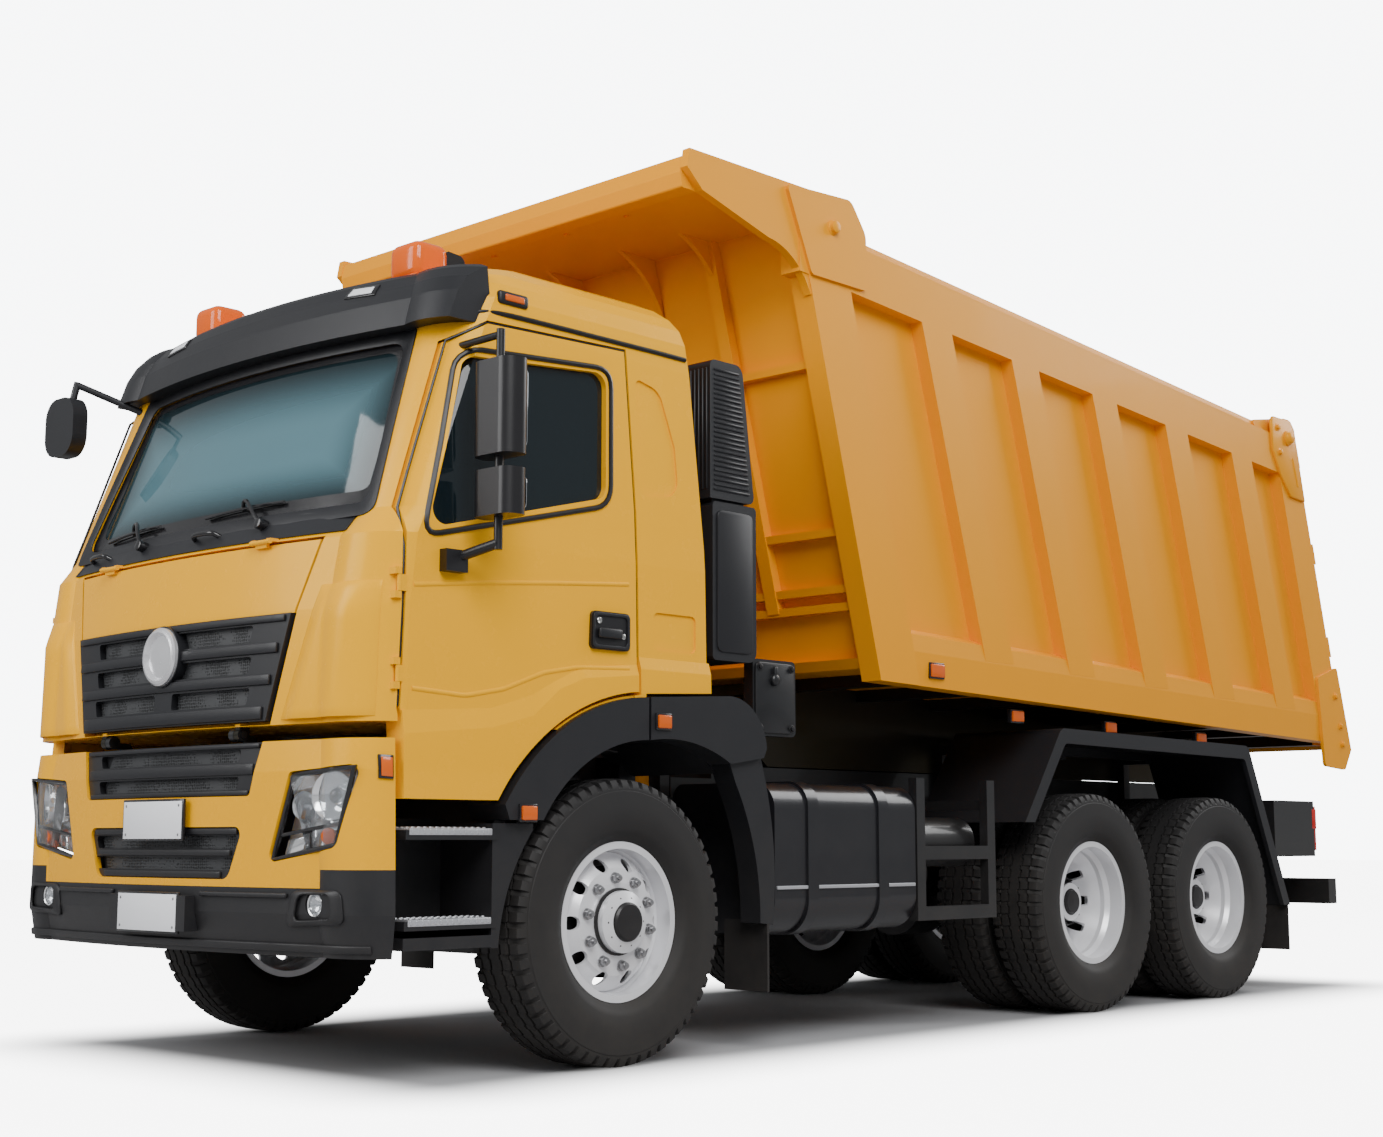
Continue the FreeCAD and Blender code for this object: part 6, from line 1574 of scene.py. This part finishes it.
class TRUCK_OT_stage(bpy.types.Operator):
    """Adds the floor, the lights and the camera"""
    bl_idname = "truck.stage"
    bl_label = "Stage"

    def execute(self, context):
        clear_selection()
        bpy.ops.mesh.primitive_plane_add(size=FLOOR_SIZE, location=(0, 0, 0))
        floor = bpy.context.object
        floor.name = "floor"
        tree, shader, place = new_material("floor_white")
        fill(shader, {"Base Color": (0.42, 0.42, 0.43, 1), "Roughness": 0.8, "Specular IOR Level": 0.1,
                      "Emission Color": (1, 1, 1, 1)})
        seen = tree.nodes.new("ShaderNodeLightPath").outputs["Is Camera Ray"]
        # The glow fades out under the truck as a painted shadow
        glow = math_node(tree, "MULTIPLY", painted_floor_shadow(tree, place), FLOOR_GLOW)
        link(tree, math_node(tree, "MULTIPLY", seen, glow), shader.inputs["Emission Strength"])
        floor.data.materials.append(MATERIALS["floor_white"])
        world = bpy.data.worlds.new("studio")
        world.use_nodes = True
        tree = world.node_tree
        sky = tree.nodes["Background"]
        sky.inputs["Color"].default_value = (0.96, 0.98, 1.0, 1)
        seen = tree.nodes.new("ShaderNodeLightPath").outputs["Is Camera Ray"]
        strength = math_node(tree, "ADD", math_node(tree, "MULTIPLY", seen, BACKDROP_GLOW), SKY_LIGHT)
        link(tree, strength, sky.inputs["Strength"])
        context.scene.world = world
        for name, place, target, size, power in LIGHTS:
            lamp = bpy.data.lights.new(name, "AREA")
            lamp.energy = power
            lamp.size = size
            source = bpy.data.objects.new(name, lamp)
            source.location = place
            source.rotation_euler = (Vector(target) - Vector(place)).to_track_quat("-Z", "Y").to_euler()
            context.scene.collection.objects.link(source)
        view = bpy.data.cameras.new("photo_camera")
        view.sensor_width = 36.0
        view.lens = FOCAL / PHOTO_WIDTH * view.sensor_width
        view.clip_end = 300.0
        camera = bpy.data.objects.new("photo_camera", view)
        camera.location = CAMERA
        yaw = math.radians(YAW)
        pitch = math.radians(PITCH)
        look = Vector((math.cos(pitch) * math.cos(yaw), math.cos(pitch) * math.sin(yaw), math.sin(pitch)))
        camera.rotation_euler = look.to_track_quat("-Z", "Y").to_euler()
        context.scene.collection.objects.link(camera)
        bpy.context.scene.camera = camera
        return {"FINISHED"}


PIECES = (TRUCK_OT_finishes, TRUCK_OT_tyres, TRUCK_OT_wheel_nuts, TRUCK_OT_headlamps, TRUCK_OT_front_trim,
          TRUCK_OT_windows, TRUCK_OT_wipers, TRUCK_OT_screen_border, TRUCK_OT_roof_trim, TRUCK_OT_seams,
          TRUCK_OT_corners, TRUCK_OT_beacons, TRUCK_OT_doors, TRUCK_OT_liners, TRUCK_OT_bumper,
          TRUCK_OT_steps, TRUCK_OT_stack, TRUCK_OT_bed_bolts, TRUCK_OT_markers)


class TRUCK_PT_panel(bpy.types.Panel):
    """Buttons for each group of pieces"""
    bl_idname = "TRUCK_PT_panel"
    bl_label = "Dump truck"
    bl_space_type = "VIEW_3D"
    bl_region_type = "UI"
    bl_category = "Dump truck"

    def draw(self, context):
        layout = self.layout
        for group in (context.scene.truck_sizes, context.scene.truck_colours):
            for name in group.bl_rna.properties.keys():
                if name not in ("rna_type", "name"):
                    layout.prop(group, name)
        for piece in PIECES + (TRUCK_OT_stage,):
            layout.operator(piece.bl_idname)


CLASSES = (TruckSizes, TruckColours) + PIECES + (TRUCK_OT_stage, TRUCK_PT_panel)


def register():
    for part in CLASSES:
        bpy.utils.register_class(part)
    bpy.types.Scene.truck_sizes = PointerProperty(type=TruckSizes)
    bpy.types.Scene.truck_colours = PointerProperty(type=TruckColours)


def unregister():
    del bpy.types.Scene.truck_colours
    del bpy.types.Scene.truck_sizes
    for part in reversed(CLASSES):
        bpy.utils.unregister_class(part)


def main():
    register()
    for piece in PIECES + (TRUCK_OT_stage,):
        family, name = piece.bl_idname.split(".")
        getattr(getattr(bpy.ops, family), name)()


if __name__ == "__main__":
    main()
